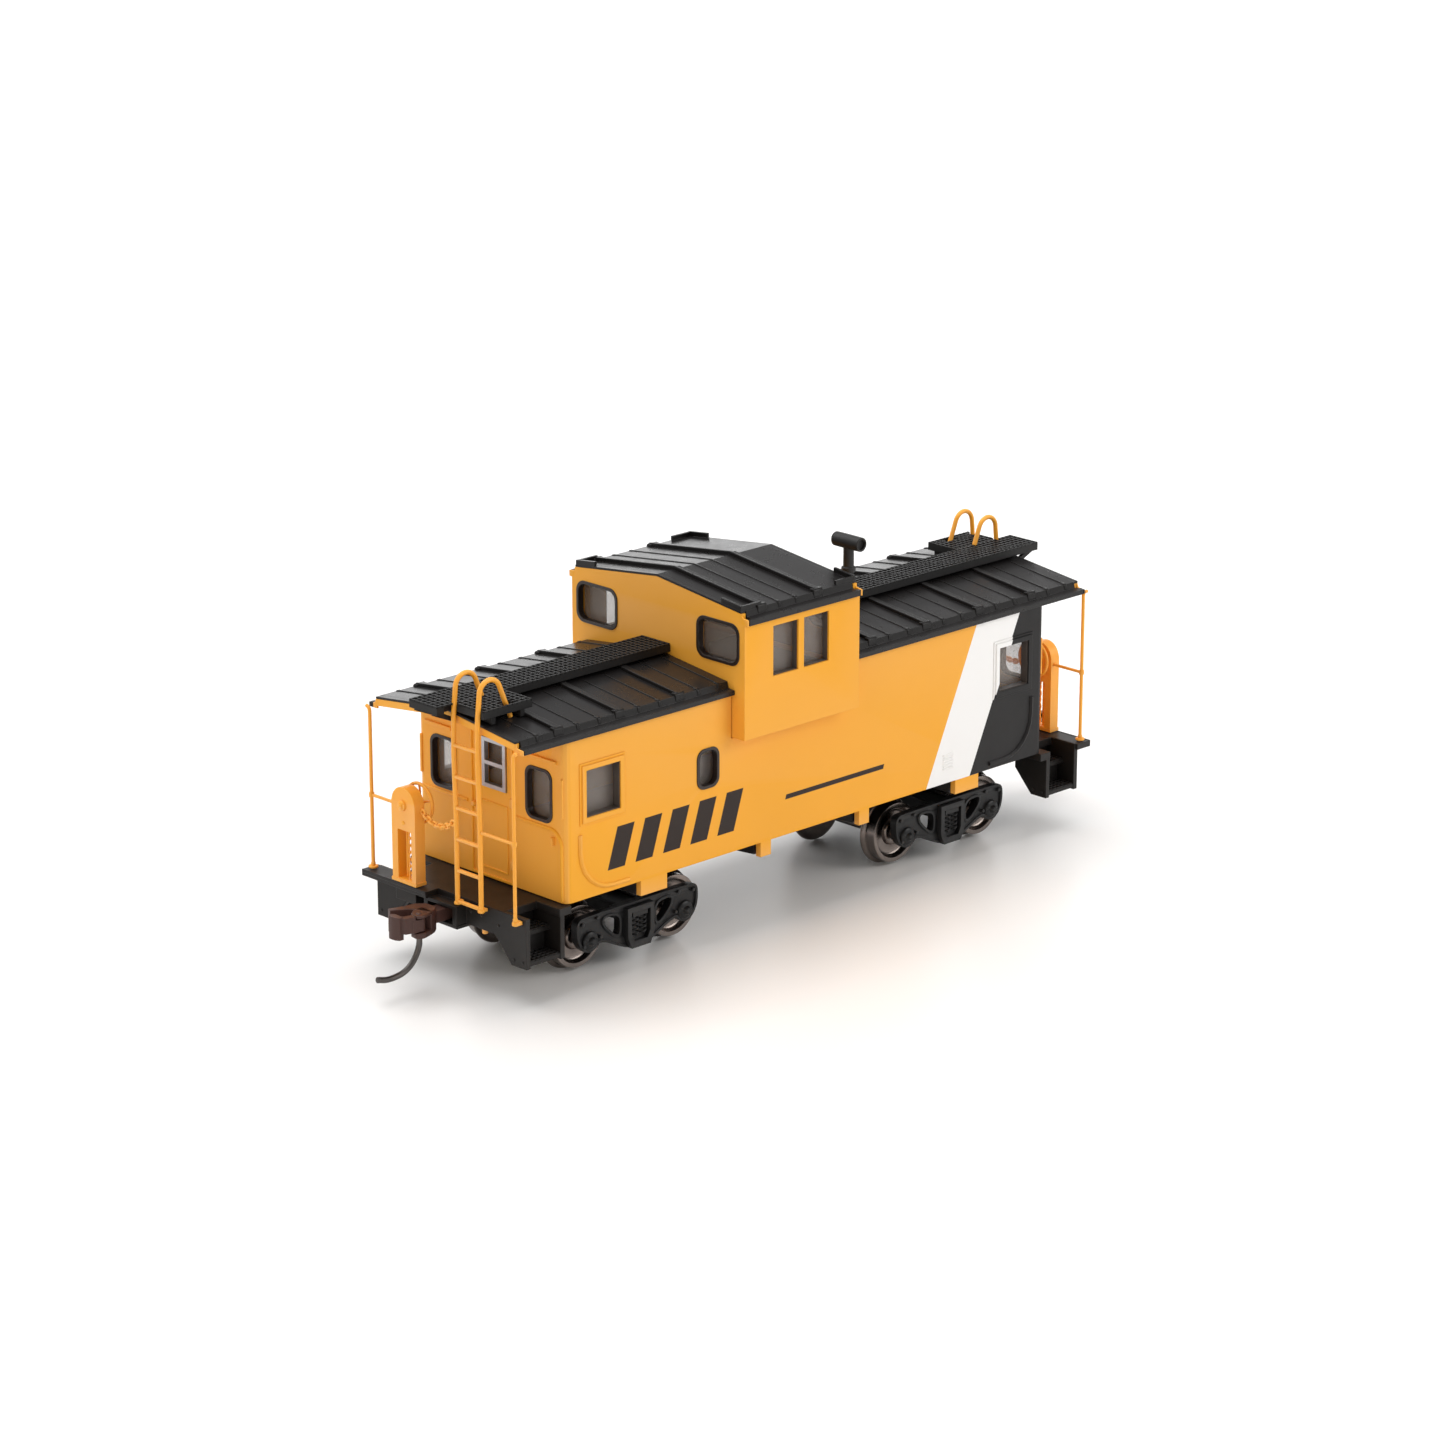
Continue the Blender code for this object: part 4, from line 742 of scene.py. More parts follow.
def rib_caps(x, width, edge, height):
    """The little stop at each eave that a rib runs into."""
    profile = [
        (-0.8, -0.2), (-0.8, 0.09 + height * 0.6), (-0.1, height), (0.16, height - 0.25), (0.26, -0.85),
    ]
    shapes = []
    for side in (1, -1):
        outline = [(side * (edge[0] + y), edge[1] + z) for y, z in profile]
        shapes.append(prism(outline, "x", x - width / 2, x + width / 2))
    return shapes


def roof_relief(node):
    """The heavy and thin ribs of one main roof."""
    shapes = []
    low, high = ROOF_LIMITS[node]
    heavy = HEAVY_RIBS[node]
    for centre in heavy:
        for shift, height in ROOF_PAIR:
            shapes += rib(centre + shift, RIDGE_WIDTH, height, ROOF_EDGE, WALK_CLEAR)
        shapes += rib_caps(centre - 0.1, CAP_WIDTH, ROOF_EDGE, 0.42)
    for centre in heavy + (heavy[0] - RIB_PITCH,):
        for step in THIN_STEPS:
            if low < centre + step < high:
                shapes += rib(centre + step, 0.26, 0.13, ROOF_EDGE, WALK_CLEAR)
                shapes += rib_caps(centre + step, 0.62, ROOF_EDGE, 0.16)
    add(f"{node}_ribs", shapes, "roof_black", bevel=0.07)


def cupola_relief():
    """The ribs of the cupola's roof, which cross its ridge."""
    shapes = []
    for centre in CUPOLA_RIBS:
        for shift, height in CUPOLA_PAIR:
            shapes += rib(centre + shift, RIDGE_WIDTH, height, CUPOLA_EDGE)
        shapes += rib_caps(centre, CAP_WIDTH, CUPOLA_EDGE, 0.45)
    for centre in CUPOLA_THIN:
        shapes += rib(centre, 0.28, 0.12, CUPOLA_EDGE)
        shapes += rib_caps(centre, 0.6, CUPOLA_EDGE, 0.16)
    add("cupola_roof_ribs", shapes, "roof_black", bevel=0.08)


GRID_PITCH = 0.92
GRID_BAR = 0.27


def walk_grid(end, inner_x):
    """The raised grid on a roof walk and its ladder platform."""
    z = (WALK_TOP - 0.1, WALK_TOP + 0.22)
    shapes = lattice((-WALK_END, inner_x), (-WALK_HALF, WALK_HALF), z, GRID_PITCH, GRID_BAR)
    outer = LADDER_STILES[1]
    holes = [(ARCH_LEG_HOLE, (outer - 0.75, outer + 0.75))]
    for y in LADDER_STILES:
        holes.append(((LADDER_X - 2, LADDER_X + 0.85), (y - 0.65, y + 0.65)))
    shapes += lattice(*WALK_PLATFORM, z, GRID_PITCH, GRID_BAR, holes)
    add(f"roof_walk_{end}_grid", shapes, "walk_black", end=end, bevel=0.05)


def smoke_jack():
    """A flanged post with a plain cross pipe, hollow at both mouths."""
    x, y, head_z = SMOKE_JACK
    foot = roof_z(y) - 0.05
    profile = [
        (0, foot), (1.5, foot), (1.5, foot + 0.4), (1.25, foot + 0.6), (0.9, foot + 0.75),
        (0.82, head_z - 4.9), (1.1, head_z - 4.75), (1.12, head_z - 4.0), (0.84, head_z - 3.85),
        (0.82, head_z), (0, head_z),
    ]
    post = lathe(profile, "z", (x, y, 0), 28)
    half = [(0, 2.2), (0.72, 2.25), (0.8, 2.72), (0.98, 2.8), (1.12, 2.7), (1.14, 0.3)]
    head = lathe(half + [(r, -along) for r, along in reversed(half)], "y", (x, y, head_z), 36)
    stand_in("smoke_jack", [post, head], "jack_black", bevel=0.06)


# ---- body trim

END_WINDOW = ((7.6, 13.45), (25.55, 33.75))
SIDE_WINDOWS = ((-47.7, -40.9), (40.9, 47.7))
SIDE_WINDOW_Z = (26.45, 33.7)
OVAL_WINDOW = ((-25.2, -20.6), (25.2, 31.55))
CUPOLA_END_WINDOW = ((8.65, 17.8), (43.2, 49.8))
CUPOLA_SIDE_WINDOWS = ((-11.9, -6.6), (-5.4, -0.1))
CUPOLA_SIDE_Z = (40.9, 48.7)
DOOR = ((-5.0, 4.4), (DECK_TOP + 0.3, 37.2))
DOOR_PANEL = ((-3.7, 2.9), (15.4, 26.0))
HINGE_Z = (17.2, 26.9, 36.0)
LOUVRE_X = (28.4, 30.7)
LOUVRE_Z = 16.35
LOUVRE_PITCH = 0.46
LOUVRE_SLATS = 6
GASKET_WIDTH = 0.5
PANE_RECESS = 1.19
BORDER = 1.15


def mirrored(limits, side):
    """Limits on the left side as they are on this side."""
    return tuple(sorted((side * limits[0], side * limits[1])))


def gasket(a, b, radius, axis, face, outward):
    """A rubber window seal: a thin flange on the wall and a lip that lines the opening."""
    flange = sorted((face - outward * 0.05, face + outward * 0.16))
    lining = sorted((face - outward * 0.95, face + outward * 0.1))
    return [
        rect_ring(a, b, radius, GASKET_WIDTH, axis, *flange),
        rect_ring(grown(a, -0.16), grown(b, -0.16), radius - 0.1, GASKET_WIDTH - 0.18, axis, *lining),
    ]


def end_wall_trim(end):
    """Seals, drip rails, grab ridges, door frame, hinges and knob on one end wall."""
    face, root = -BODY_X, -BODY_X + 0.1
    seals, trim = [], []
    for side in (1, -1):
        y = mirrored(END_WINDOW[0], side)
        seals += gasket(y, END_WINDOW[1], 1.5, "x", face, -1)
        trim.append(box((face - 0.35, root), mirrored((8.6, 14.5), side), (34.95, 35.5)))
        trim.append(box((face - 0.2, root), mirrored((15.3, 15.75), side), (27.0, 33.0)))
    grab = [(-5.4, 24.9)] + arc((-13.0, 22.6), 2.3, 90, 180, 10) + [(-15.3, 14.2)]
    trim += [
        swept([(face, 5.2, 25.0), (face, 15.3, 25.0)], 0.3, sides=10),
        swept([(face, y, z) for y, z in grab], 0.3, sides=10),
        box((face - 0.55, root), (-13.9, -13.35), (22.6, 23.8)),
        rect_ring(*DOOR, 0.12, 0.42, "x", face - 0.22, root),
        rect_ring(*DOOR_PANEL, 0.3, 0.3, "x", face - 0.14, root),
        *[disc(0.28, "z", (face - 0.2, -4.7, 0), z - 0.7, z + 0.7, 12) for z in HINGE_Z],
        disc(0.42, "x", (0, 3.35, 25.0), face - 0.75, face, 16),
    ]
    add(f"end_seals_{end}", seals, "gasket", end=end, bevel=0.06)
    add(f"end_trim_{end}", trim, "trim_yellow", end=end, bevel=0.07)


def pane_edge(x, z, depth):
    """The dark edge of a clear pane that shows inside its square opening."""
    return rect_ring(grown(x, 0.02), grown(z, 0.02), 0.1, 0.14, "y", *sorted(depth))


def side_trim():
    """Window borders and pane edges on both sides, the oval window's seal and the louvre."""
    trim, seals, edges = [], [], []
    for side in (1, -1):
        for x in SIDE_WINDOWS:
            depth = (side * (BODY_Y - PANE_RECESS), side * (BODY_Y + 0.1))
            edges.append(pane_edge(x, SIDE_WINDOW_Z, depth))
            step = sorted((side * (BODY_Y - 0.05), side * (BODY_Y + 0.16)))
            trim.append(rect_ring(grown(x, BORDER), grown(SIDE_WINDOW_Z, BORDER), 0.15, 0.45, "y", *step))
        seals += gasket(*OVAL_WINDOW, 1.5, "y", side * BODY_Y, side)
    for slat in range(LOUVRE_SLATS):
        z = LOUVRE_Z + slat * LOUVRE_PITCH
        for side in (-1, 1):
            depth = sorted((side * (BODY_Y - 0.05), side * (BODY_Y + 0.14)))
            trim.append(box(mirrored(LOUVRE_X, -side), depth, (z - 0.12, z + 0.12)))
    add("side_trim", trim, "body_yellow", bevel=0.05)
    add("oval_window_seals", seals, "gasket", bevel=0.06)
    add("side_pane_edges", edges, "pane_edge")


def cupola_trim():
    """Seals in the cupola's end windows and pane edges in its side windows."""
    seals, edges = [], []
    for side in (1, -1):
        y = mirrored(CUPOLA_END_WINDOW[0], side)
        for face, outward in ((CUPOLA_X[0], -1), (CUPOLA_X[1], 1)):
            seals += gasket(y, CUPOLA_END_WINDOW[1], 1.7, "x", face, outward)
        for x in CUPOLA_SIDE_WINDOWS:
            depth = (side * (CUPOLA_Y - PANE_RECESS), side * (CUPOLA_Y - 0.3))
            edges.append(pane_edge(x, CUPOLA_SIDE_Z, depth))
    add("cupola_seals", seals, "gasket", bevel=0.06)
    add("cupola_pane_edges", edges, "pane_edge")


# ---- end fittings

RUNGS = [13.55 + 4.82 * step for step in range(6)]
RAIL_RADIUS = 0.38


def stile_x(z):
    """The ladder leans out a little on its way up to the roof end."""
    return LADDER_X - LADDER_LEAN * min(max((z - 26.0) / 10.5, 0.0), 1.0)


def ladder(end):
    """Two stiles that arch over the roof end, each on a sloping leg, with feet and flat rungs."""
    shapes = []
    bend = arc(ARCH_CENTRE, ARCH_RADIUS, 180, LEG_LEAN, 18)
    lean = tan(radians(LEG_LEAN))
    for y, foot in zip(LADDER_STILES, (WALK_TOP + 0.12, roof_z(LADDER_STILES[1]) + 0.12)):
        leg_x = bend[-1][0] + lean * (bend[-1][1] - foot)
        path = [(LADDER_X, 13.1), (LADDER_X, 26.0), (stile_x(36.5), 36.5), (LADDER_X - 0.15, 42.0)]
        path += bend + [(leg_x, foot)]
        shapes.append(swept([(x, y, z) for x, z in path], RAIL_RADIUS, sides=16))
        shapes.append(disc(0.55, "z", (LADDER_X, y, 0), 13.05, 13.5, 18))
        shapes.append(box((LADDER_X, SHELF_FACE), (y - 0.38, y + 0.38), (13.15, 13.6)))
    for z in RUNGS:
        x = stile_x(z)
        rung = rounded((x - 0.28, x + 0.28), (z - 0.25, z + 0.25), 0.14, 3)
        shapes.append(prism(rung, "y", LADDER_STILES[1], LADDER_STILES[0]))
    stand_in(f"ladder_{end}", shapes, "rail_yellow", end=end, bevel=0.05)


def corner_rail(end, side):
    """A post with its foot, its elbow under the roof and its cross rail."""
    y = side * POST_Y[side]
    foot = DECK_TOP + 0.15 if side > 0 else 13.2
    top = ROOF_EDGE[1] - 2.9
    elbow = [(0, 0), (0, 0.6), (0.1, 0.95), (0.3, 1.22), (0.75, 1.38)]
    path = [(POST_X, y, foot), (POST_X, y, 20.0)] + [(POST_X, y + side * a, top + b) for a, b in elbow]
    inner = STAND_Y[1] + 0.1 if side > 0 else -(LADDER_STILES[1] - RAIL_RADIUS)

    def collar(radius, low, high):
        return disc(radius, "z", (POST_X, y, 0), low, high, 18)

    shapes = [
        swept(path, 0.28, sides=14),
        swept([(POST_X, side * inner, RAIL_Z), (POST_X, y, RAIL_Z)], 0.25, sides=12),
        collar(0.42, RAIL_Z - 0.4, RAIL_Z + 0.4),
        collar(0.36, foot + 0.2, foot + 0.9),
    ]
    if side < 0:
        shapes.append(box((POST_X - 0.2, SHELF_FACE), (y - 0.5, y + 0.5), (13.0, 13.55)))
        shapes.append(collar(0.5, 12.95, 13.5))
    else:
        shapes.append(collar(0.75, foot, foot + 0.4))
    hand = "left" if side > 0 else "right"
    stand_in(f"corner_rail_{end}_{hand}", shapes, "rail_yellow", end=end, bevel=0.05)


BRAKE_SLOT = [(5.75, 14.6), (5.75, 22.2), (8.8, 22.2), (8.8, 14.6)]
SLOT_LINKS = 7
LINK_PITCH = 1.08


def brake_stand(end):
    """The housing with its slot, its chain and rod, bolt, boss and base."""
    (x0, x1), (y0, y1) = STAND_X, STAND_Y
    low = DECK_TOP + 0.17
    top = arc(((y0 + y1) / 2, 26.3), 2.55, 15, 165, 16)
    outline = [(y0, low), (y1, low), (y1, 26.4)] + top + [(y0, 26.4)]
    shapes = [
        plate(outline, [BRAKE_SLOT], "x", x0, x1),
        disc(0.82, "x", (0, 7.6, 26.0), x0 - 0.4, x0 + 0.2, 24, soft=0.2),
        disc(0.45, "x", (0, 7.6, 26.0), x0 - 0.62, x0, 20, soft=0.15),
        disc(0.4, "x", (0, 7.5, 23.3), x0 - 0.12, x0 + 0.2, 18),
    ]
    for index in range(SLOT_LINKS):
        across = (1, 0, 0) if index % 2 else (0, 1, 0)
        centre = (-61.9, 6.35, 15.2 + index * LINK_PITCH)
        shapes.append(link(centre, (0, 0, 1), across, 1.3, 0.66, 0.15))
    shapes.append(swept([(-61.2, 7.9, 14.5), (-61.2, 7.9, 22.3)], 0.2, sides=10))
    shapes.append(box((x0 - 0.12, x1 + 0.05), (y0 - 0.12, y1 + 0.12), (low - 0.01, low + 0.5)))
    stand_in(f"brake_stand_{end}", shapes, "rail_yellow", end=end, bevel=0.09)


RIM_RADIUS = 2.95
RIM_STEPS = 40
SPOKES = 5


def brake_wheel(end):
    """A rim, a hub and dished spokes."""
    centre = Vector(BRAKE_WHEEL)

    def at(distance, angle, forward=0.0):
        return centre + Vector((forward, distance * cos(angle), distance * sin(angle)))

    rim = [at(RIM_RADIUS, angle) for angle in circle(RIM_STEPS)]
    shapes = [swept(rim, 0.27, sides=12, closed=True), disc(0.75, "x", centre, -0.7, 0.45, 24)]
    for spoke in range(SPOKES):
        angle = radians(90 + 360 / SPOKES * spoke)
        path = [at(0.4, angle), at(1.6, angle, 0.18), at(RIM_RADIUS, angle)]
        shapes.append(swept(smooth_path(path, 4), 0.17, sides=8))
    stand_in(f"brake_wheel_{end}", shapes, "rail_yellow", end=end)


CHAIN_LINKS = 11
CHAIN_SAG = 1.5


def safety_chain(end):
    """Small links that hang in a shallow curve, each turned from the one before."""
    start, finish = STAND_Y[0] - 0.1, LADDER_STILES[0] + 0.45
    shapes = []
    for index in range(CHAIN_LINKS):
        share = (index + 0.5) / CHAIN_LINKS
        y = start + (finish - start) * share
        z = RAIL_Z + 0.25 - CHAIN_SAG * 4 * share * (1 - share)
        slope = CHAIN_SAG * 4 * (1 - 2 * share) / (finish - start) * -1
        across = (1, 0, 0) if index % 2 else (0, -slope, 1)
        shapes.append(link((LADDER_X, y, z), (0, 1, slope), across, 1.02, 0.74, 0.19))
    stand_in(f"safety_chain_{end}", shapes, "rail_yellow", end=end)


COUPLER_HEAD = [
    (-63.6, -1.1), (-63.6, 1.1), (-65.0, 2.2), (-66.8, 2.4), (-69.2, 3.2), (-69.5, 2.3), (-67.6, 1.2),
    (-66.6, 0.3), (-66.2, -0.9), (-65.6, -2.3), (-64.6, -1.9),
]
COUPLER_LUG = [
    (-65.2, 0.3), (-67.0, 0.1), (-68.3, -0.9), *arc(KNUCKLE_PIVOT, 1.15, 200, 290, 6), (-65.2, -2.2),
]
KNUCKLE_ROOT = [*arc(KNUCKLE_PIVOT, 0.85, -110, 60, 14), (-68.6, -1.0), (-69.2, -2.35)]
KNUCKLE_ARM = [(-68.3, -1.25), (-70.0, -0.7), (-70.6, -1.1), (-70.2, -2.0), (-68.6, -2.4)]
KNUCKLE_NOSE = [
    (-70.05, -1.35), (-70.05, 0.55), (-70.45, 0.98), (-70.95, 0.95), (-71.25, 0.6), (-71.3, 0.0),
    (-71.25, -0.7), (-70.85, -1.4),
]
TRIP_PIN = (
    (-66.0, 11.4), (-66.0, 8.0), (-66.2, 6.8), (-66.7, 5.75), (-67.55, 4.7), (-68.75, 3.9), (-70.2, 3.5),
    (-72.2, 3.42), (-74.1, 3.85),
)
TRIP_PIN_RADIUS = 0.46


def coupler(end):
    """The shank with its eye, the head, the two lugs that hold the knuckle and the pin heads."""
    z = (COUPLER_Z - 0.95, COUPLER_Z + 0.95)
    pivot = (*KNUCKLE_PIVOT, 0)
    shapes = [
        box((-65.5, COUPLER_PIVOT_X - 1.6), (-1.15, 1.15), z),
        lathe([(1.12, z[0]), (2.1, z[0]), (2.1, z[1]), (1.12, z[1])], "z", (COUPLER_PIVOT_X, 0, 0), 32),
        prism(COUPLER_HEAD, "z", HEAD_BOTTOM, HEAD_TOP),
        prism(COUPLER_LUG, "z", COUPLER_Z + 1.2, HEAD_TOP),
        prism(COUPLER_LUG, "z", HEAD_BOTTOM, COUPLER_Z - 1.05),
        disc(0.42, "z", pivot, HEAD_TOP - 0.2, HEAD_TOP + 0.12, 18),
        disc(0.42, "z", pivot, HEAD_BOTTOM - 0.12, HEAD_BOTTOM + 0.2, 18),
        disc(0.75, "z", (-66.0, 0, 0), HEAD_BOTTOM - 0.25, HEAD_BOTTOM + 0.3, 20),
    ]
    stand_in(f"coupler_{end}", shapes, "coupler_brown", end=end, body=f"coupler_{end}", bevel=0.14)


def knuckle(end):
    """The hook that turns between the head's lugs."""
    shapes = [
        prism(KNUCKLE_ROOT, "z", COUPLER_Z - 0.9, COUPLER_Z + 1.05),
        prism(KNUCKLE_ARM, "z", COUPLER_Z - 0.85, HEAD_TOP - 0.05),
        prism(KNUCKLE_NOSE, "z", COUPLER_Z - 1.8, HEAD_TOP + 0.08),
        disc(0.28, "z", (*KNUCKLE_PIVOT, 0), HEAD_BOTTOM + 0.2, HEAD_TOP - 0.2, 16),
    ]
    stand_in(f"knuckle_{end}", shapes, "coupler_brown", end=end, body=f"knuckle_{end}", bevel=0.16)


def trip_pin(end):
    """The bent wire under the coupler's head, with a rounded end."""
    path = smooth_path([(x, 0, z) for x, z in TRIP_PIN], 6)
    cap = disc(TRIP_PIN_RADIUS, "x", (0, 0, 0), -0.02, 0.2, 18, soft=0.14)
    cap.transform(Matrix.Translation(path[-1]) @ Matrix.Rotation(radians(12), 4, "Y"))
    shapes = [swept(path, TRIP_PIN_RADIUS, sides=18), cap]
    stand_in(f"trip_pin_{end}", shapes, "pin_metal", end=end, body=f"coupler_{end}")


def peg(end):
    """The lug of the ladder moulding that shows below the platform."""
    shape = disc(0.45, "z", (-58.7, -6.3, 0), 8.8, 12.63, 20)
    add(f"ladder_peg_{end}", [shape], "rail_yellow", end=end)


WELL_X = (-59.0, -53.3)
RISER_X = (-59.2, -53.1)
TREAD_PITCH = 0.85
TREAD_BAR = 0.25
RIVETS = ((10.6, 11.4), (15.8, 12.9), (15.8, 7.0), (13.9, 7.0))
SILL_RIVETS_Y = (-7.0, -4.6, 4.4)


def platform_trim(end):
    """Tread grids and risers in the step wells, rivets and the lip along the end sill."""
    shapes = []
    for side in (1, -1):
        for y, z in (((13.0, 16.4), (6.95, 7.2)), ((10.5, 14.1), (10.65, 10.9))):
            shapes += lattice(WELL_X, mirrored(y, side), z, TREAD_PITCH, TREAD_BAR)
        for y, z in (((12.75, 13.05), (6.6, 10.4)), ((10.3, 10.6), (10.2, 12.7))):
            shapes.append(box(RISER_X, mirrored(y, side), z))
        for low in (-59.9 - 0.12, -52.4):
            for y, z in RIVETS:
                shapes.append(disc(0.24, "x", (0, side * y, z), low, low + 0.12, 12, soft=0.06))
    for y in SILL_RIVETS_Y:
        shapes.append(disc(0.26, "x", (0, y, 12.1), SHELF_FACE, SHELF_FACE + 0.2, 12, soft=0.08))
    shapes.append(box((-62.46, -62.2), (2.62, 17.05), (13.35, 13.86)))
    add(f"platform_trim_{end}", shapes, "frame_black", end=end, bevel=0.05)


# ---- trucks

def helix(centre, radius, low, high, turns, wire):
    """A coil spring."""
    points = []
    steps = int(turns * HELIX_STEPS)
    for step in range(steps + 1):
        angle = 2 * pi * turns * step / steps
        z = low + (high - low) * step / steps
        points.append((centre[0] + radius * cos(angle), centre[1] + radius * sin(angle), z))
    return swept(points, wire, sides=8)


FRAME_HALF = [
    (11.2, 9.4), (12.1, 8.9), (12.4, 8.0), (12.3, 6.1), (11.7, 4.7), (10.7, 3.8), (9.7, 3.55),
    (8.6, 3.95), (7.6, 4.95), (2.0, 2.2),
]
FRAME_GAP = [(3.75, 4.95), (3.75, 8.05), (6.9, 8.35), (6.8, 7.1), (4.7, 5.15)]
POCKET_OUTER = [(2.7, 8.8), (2.7, 4.1), (1.9, 2.35)]
POCKET_INNER = [(1.9, 7.95), (1.9, 4.6), (1.3, 3.4)]
JOURNAL_BOSS = [
    (0, 13.6), (0.42, 13.55), (0.62, 13.3), (0.72, 13.05), (1.15, 13.0), (1.4, 12.85), (1.5, 12.65),
    (1.52, 12.2), (0, 12.2),
]
JOURNAL_BOLTS = ((11.3, 8.3), (8.3, 8.7), (11.0, 4.75), (7.7, 5.6))
BEAM = [
    (-11.9, 6.6), (-6.0, 6.2), (6.0, 6.2), (11.9, 6.6), (11.9, 8.6), (4.2, 9.2), (-4.2, 9.2), (-11.9, 8.6),
]
KINGPIN_HOLE = 0.97


def side_frame(x, side):
    """One cast side frame with its flanges, journals, spring pocket, springs and bolts."""
    def depth(low, high):
        return sorted((side * low, side * high))

    def at(points, sign=1):
        return [(x + sign * px, pz) for px, pz in points]

    def both(points):
        return points + [(-px, pz) for px, pz in reversed(points)]

    outline = softened(at(both(FRAME_HALF)))
    gaps = [softened(at(FRAME_GAP, sign)) for sign in (1, -1)]
    flange = depth(12.35, 12.7)
    shapes = [plate(outline, gaps, "y", *depth(11.4, 12.4))]
    shapes.append(ring(outline, shrunk(outline, 0.42), "y", *flange))
    shapes += [ring(shrunk(gap, -0.4), gap, "y", *flange) for gap in gaps]
    for sign in (1, -1):
        centre = (x + sign * HALF_WHEELBASE, 0, AXLE_Z)
        shapes.append(lathe([(r, side * along) for r, along in JOURNAL_BOSS], "y", centre, 40))
        for bolt_x, bolt_z in JOURNAL_BOLTS:
            shapes.append(disc(0.3, "y", (x + sign * bolt_x, 0, bolt_z), *depth(12.35, 12.95), 12, soft=0.08))
    outer, inner = at(both(POCKET_OUTER)), at(both(POCKET_INNER))
    shapes += [
        ring(outer, inner, "y", *depth(12.3, 13.38)),
        prism(outer, "y", *depth(12.2, 12.5)),
        box((x - 1.5, x + 1.5), depth(12.4, 13.2), (7.15, 7.85)),
    ]
    for sign in (1, -1):
        shapes.append(helix((x + sign * 0.78, side * 12.72), 0.5, 4.0, 7.2, 4.5, 0.15))
    return shapes


def truck(end, x):
    """Both side frames and the bolster between them, with a hole for the kingpin screw."""
    bolster = [(x + a, b) for a, b in rounded((-2.5, 2.5), (-11.9, 11.9), 0.3, 6)]
    hole = [(x + a, b) for a, b in arc((0, 0), KINGPIN_HOLE, -45, 315, 27)]
    plate_profile = [(KINGPIN_HOLE, 8.5), (3.6, 8.5), (3.4, 9.2), (KINGPIN_HOLE, 9.2)]
    shapes = side_frame(x, 1) + side_frame(x, -1)
    shapes.append(ring(bolster, hole, "z", 6.9, 8.6))
    shapes.append(lathe(plate_profile, "z", (x, 0, 0), 40))
    for sign in (1, -1):
        shapes.append(prism(BEAM, "x", *sorted((x + sign * 2.45, x + sign * 1.9))))
    stand_in(f"truck_frame_{end}", shapes, "truck_black", body=f"truck_{end}", bevel=0.12)


# Both as (radius, along the axle); the wheel's starts from its inner face.
WHEEL_INNER = 7.2
WHEEL_PROFILE = [
    (1.22, 0.12), (4.7, 0.08), (5.1, 0.06), (5.32, 0.14), (5.43, 0.32), (5.45, 0.45), (5.38, 0.62),
    (5.2, 0.78), (5.0, 0.86), (4.93, 0.98), (4.88, 1.3), (4.84, 2.72), (4.78, 2.79), (4.68, 2.8),
    (4.14, 2.8), (4.05, 2.72), (3.92, 2.2), (3.72, 1.98), (3.3, 1.88), (2.6, 1.86), (2.2, 1.92),
    (2.05, 2.2), (1.95, 2.5), (1.8, 2.6), (1.22, 2.6),
]
AXLE_HALF = [
    (0, 12.2), (0.45, 12.2), (0.62, 11.9), (0.65, 10.7), (0.95, 10.55), (1.12, 10.35), (1.15, 10.1),
    (1.15, 0.4),
]


def wheelset(end, place, x):
    """Two wheels on an axle with stepped journals."""
    centre = (x, 0, AXLE_Z)
    settings = {"body": f"wheelset_{end}_{place}", "origin": centre}
    for label, side in (("left", 1), ("right", -1)):
        profile = [(r, side * (WHEEL_INNER + along)) for r, along in WHEEL_PROFILE]
        stand_in(f"wheel_{end}_{place}_{label}", [lathe(profile, "y", centre, 72)], "wheel_metal", **settings)
    profile = AXLE_HALF + [(r, -along) for r, along in reversed(AXLE_HALF)]
    stand_in(f"axle_{end}_{place}", [lathe(profile, "y", centre, 32)], "axle_steel", **settings)


# ---- stage

CAMERA_AZIMUTH = -44.28
CAMERA_ELEVATION = 17.58
CAMERA_DISTANCE = 0.7109
CAMERA_LENS = 115.08
CAMERA_AIM = (-0.00407, 0.0, 0.02765)
LIGHT_AIM = (0.0, 0.0, 0.02)
FLOOR_DROP = 0.00002


def look(obj, target):
    """Turns a camera or light towards a point."""
    obj.rotation_euler = (Vector(target) - obj.location).to_track_quat("-Z", "Y").to_euler()


def camera():
    """The photograph's viewpoint: azimuth from -Y and elevation in degrees, distance in metres."""
    data = bpy.data.cameras.new("camera")
    data.sensor_width = 36.0
    data.lens = CAMERA_LENS
    data.clip_end = 20.0
    obj = new_object("camera", data)
    azimuth, elevation = radians(CAMERA_AZIMUTH), radians(CAMERA_ELEVATION)
    away = Vector((
        sin(azimuth) * cos(elevation),
        -cos(azimuth) * cos(elevation),
        sin(elevation),
    ))
    obj.location = Vector(CAMERA_AIM) + away * CAMERA_DISTANCE
    look(obj, CAMERA_AIM)
    scene.camera = obj


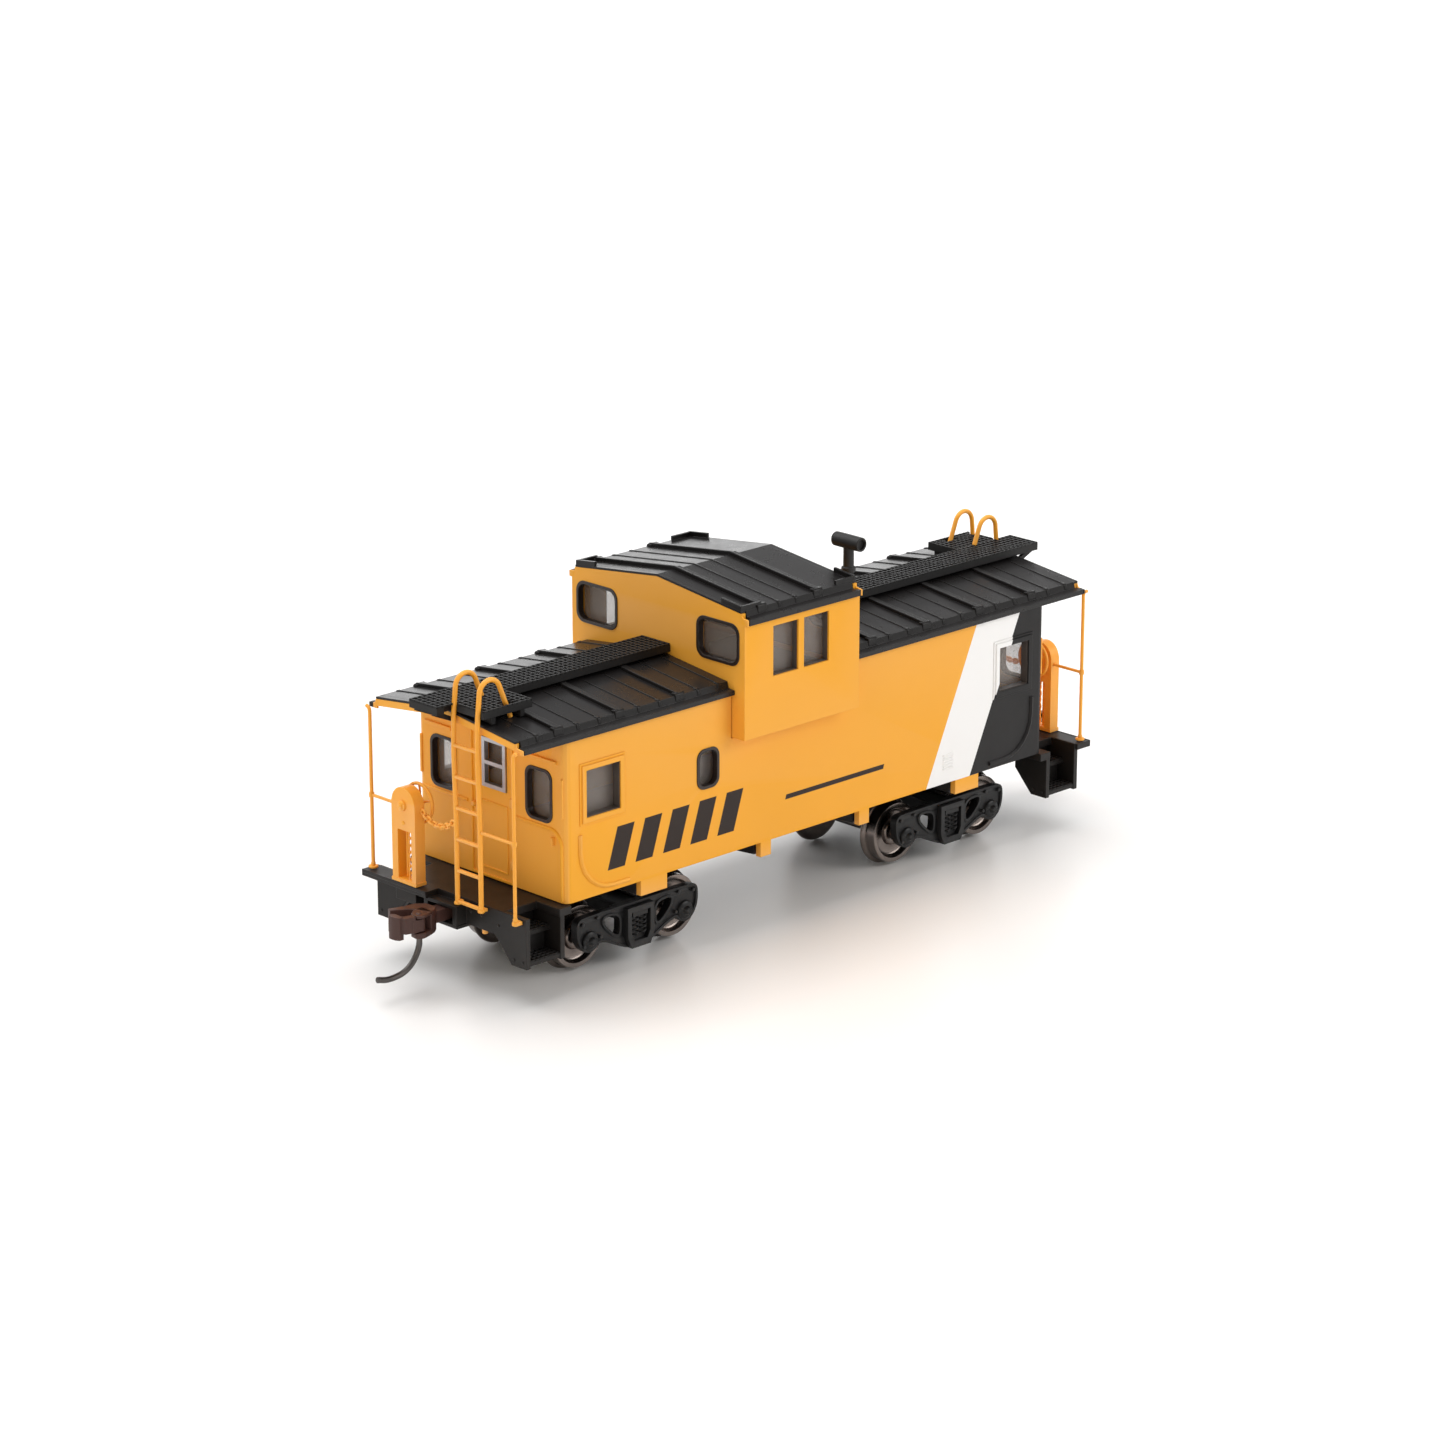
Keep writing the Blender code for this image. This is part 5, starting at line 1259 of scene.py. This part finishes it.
def floor():
    """A pale floor just under the wheels."""
    builder = bmesh.new()
    bmesh.ops.create_grid(builder, x_segments=1, y_segments=1, size=4.0)
    mesh = bpy.data.meshes.new("studio_floor")
    builder.to_mesh(mesh)
    builder.free()
    mesh.materials.append(floor_finish())
    obj = new_object("studio_floor", mesh)
    obj.location = (0.0, 0.0, -FLOOR_DROP)


def soft_light(name, place, size, power, colour=(1.0, 1.0, 1.0)):
    """A soft box that faces the car."""
    data = bpy.data.lights.new(name, "AREA")
    data.shape = "RECTANGLE"
    data.size, data.size_y = size
    data.energy = power
    data.color = colour
    obj = new_object(name, data)
    obj.location = place
    look(obj, LIGHT_AIM)


def lights():
    """A white room, boxes overhead and behind, a warm fill at the end and the key on the long side."""
    world = bpy.data.worlds.new("studio")
    world.use_nodes = True
    background = world.node_tree.nodes["Background"]
    background.inputs["Color"].default_value = (1.0, 1.0, 1.0, 1.0)
    background.inputs["Strength"].default_value = 0.52
    scene.world = world
    soft_light("overhead", (0.00, 0.20, 0.90), (0.90, 0.70), 6.8)
    soft_light("backdrop_wash", (-0.45, 1.50, 1.10), (1.40, 0.80), 8.0)
    soft_light("end_fill", (-0.90, -0.25, 0.35), (0.40, 0.40), 1.1, (1.0, 0.84, 0.62))
    soft_light("front_right", (0.55, -0.75, 0.50), (0.60, 0.60), 4.3, (1.0, 0.985, 0.96))
    soft_light("behind", (1.05, 0.95, 0.24), (1.30, 0.34), 2.6)
    scene.view_settings.view_transform = "Standard"


# ---- assembly

camera()
floor()
lights()
dress_all_nodes()
for roof in ROOF_LIMITS:
    roof_relief(roof)
cupola_relief()
walk_grid(NEAR, CUPOLA_X[0] - 0.2)
walk_grid(FAR, -(CUPOLA_X[1] + 0.2))
smoke_jack()
side_trim()
cupola_trim()
for car_end, truck_x in ((NEAR, -TRUCK_X), (FAR, TRUCK_X)):
    end_wall_trim(car_end)
    ladder(car_end)
    corner_rail(car_end, 1)
    corner_rail(car_end, -1)
    brake_stand(car_end)
    brake_wheel(car_end)
    safety_chain(car_end)
    coupler(car_end)
    knuckle(car_end)
    trip_pin(car_end)
    peg(car_end)
    platform_trim(car_end)
    truck(car_end, truck_x)
    outward = -HALF_WHEELBASE if car_end == NEAR else HALF_WHEELBASE
    wheelset(car_end, "outer", truck_x + outward)
    wheelset(car_end, "inner", truck_x - outward)
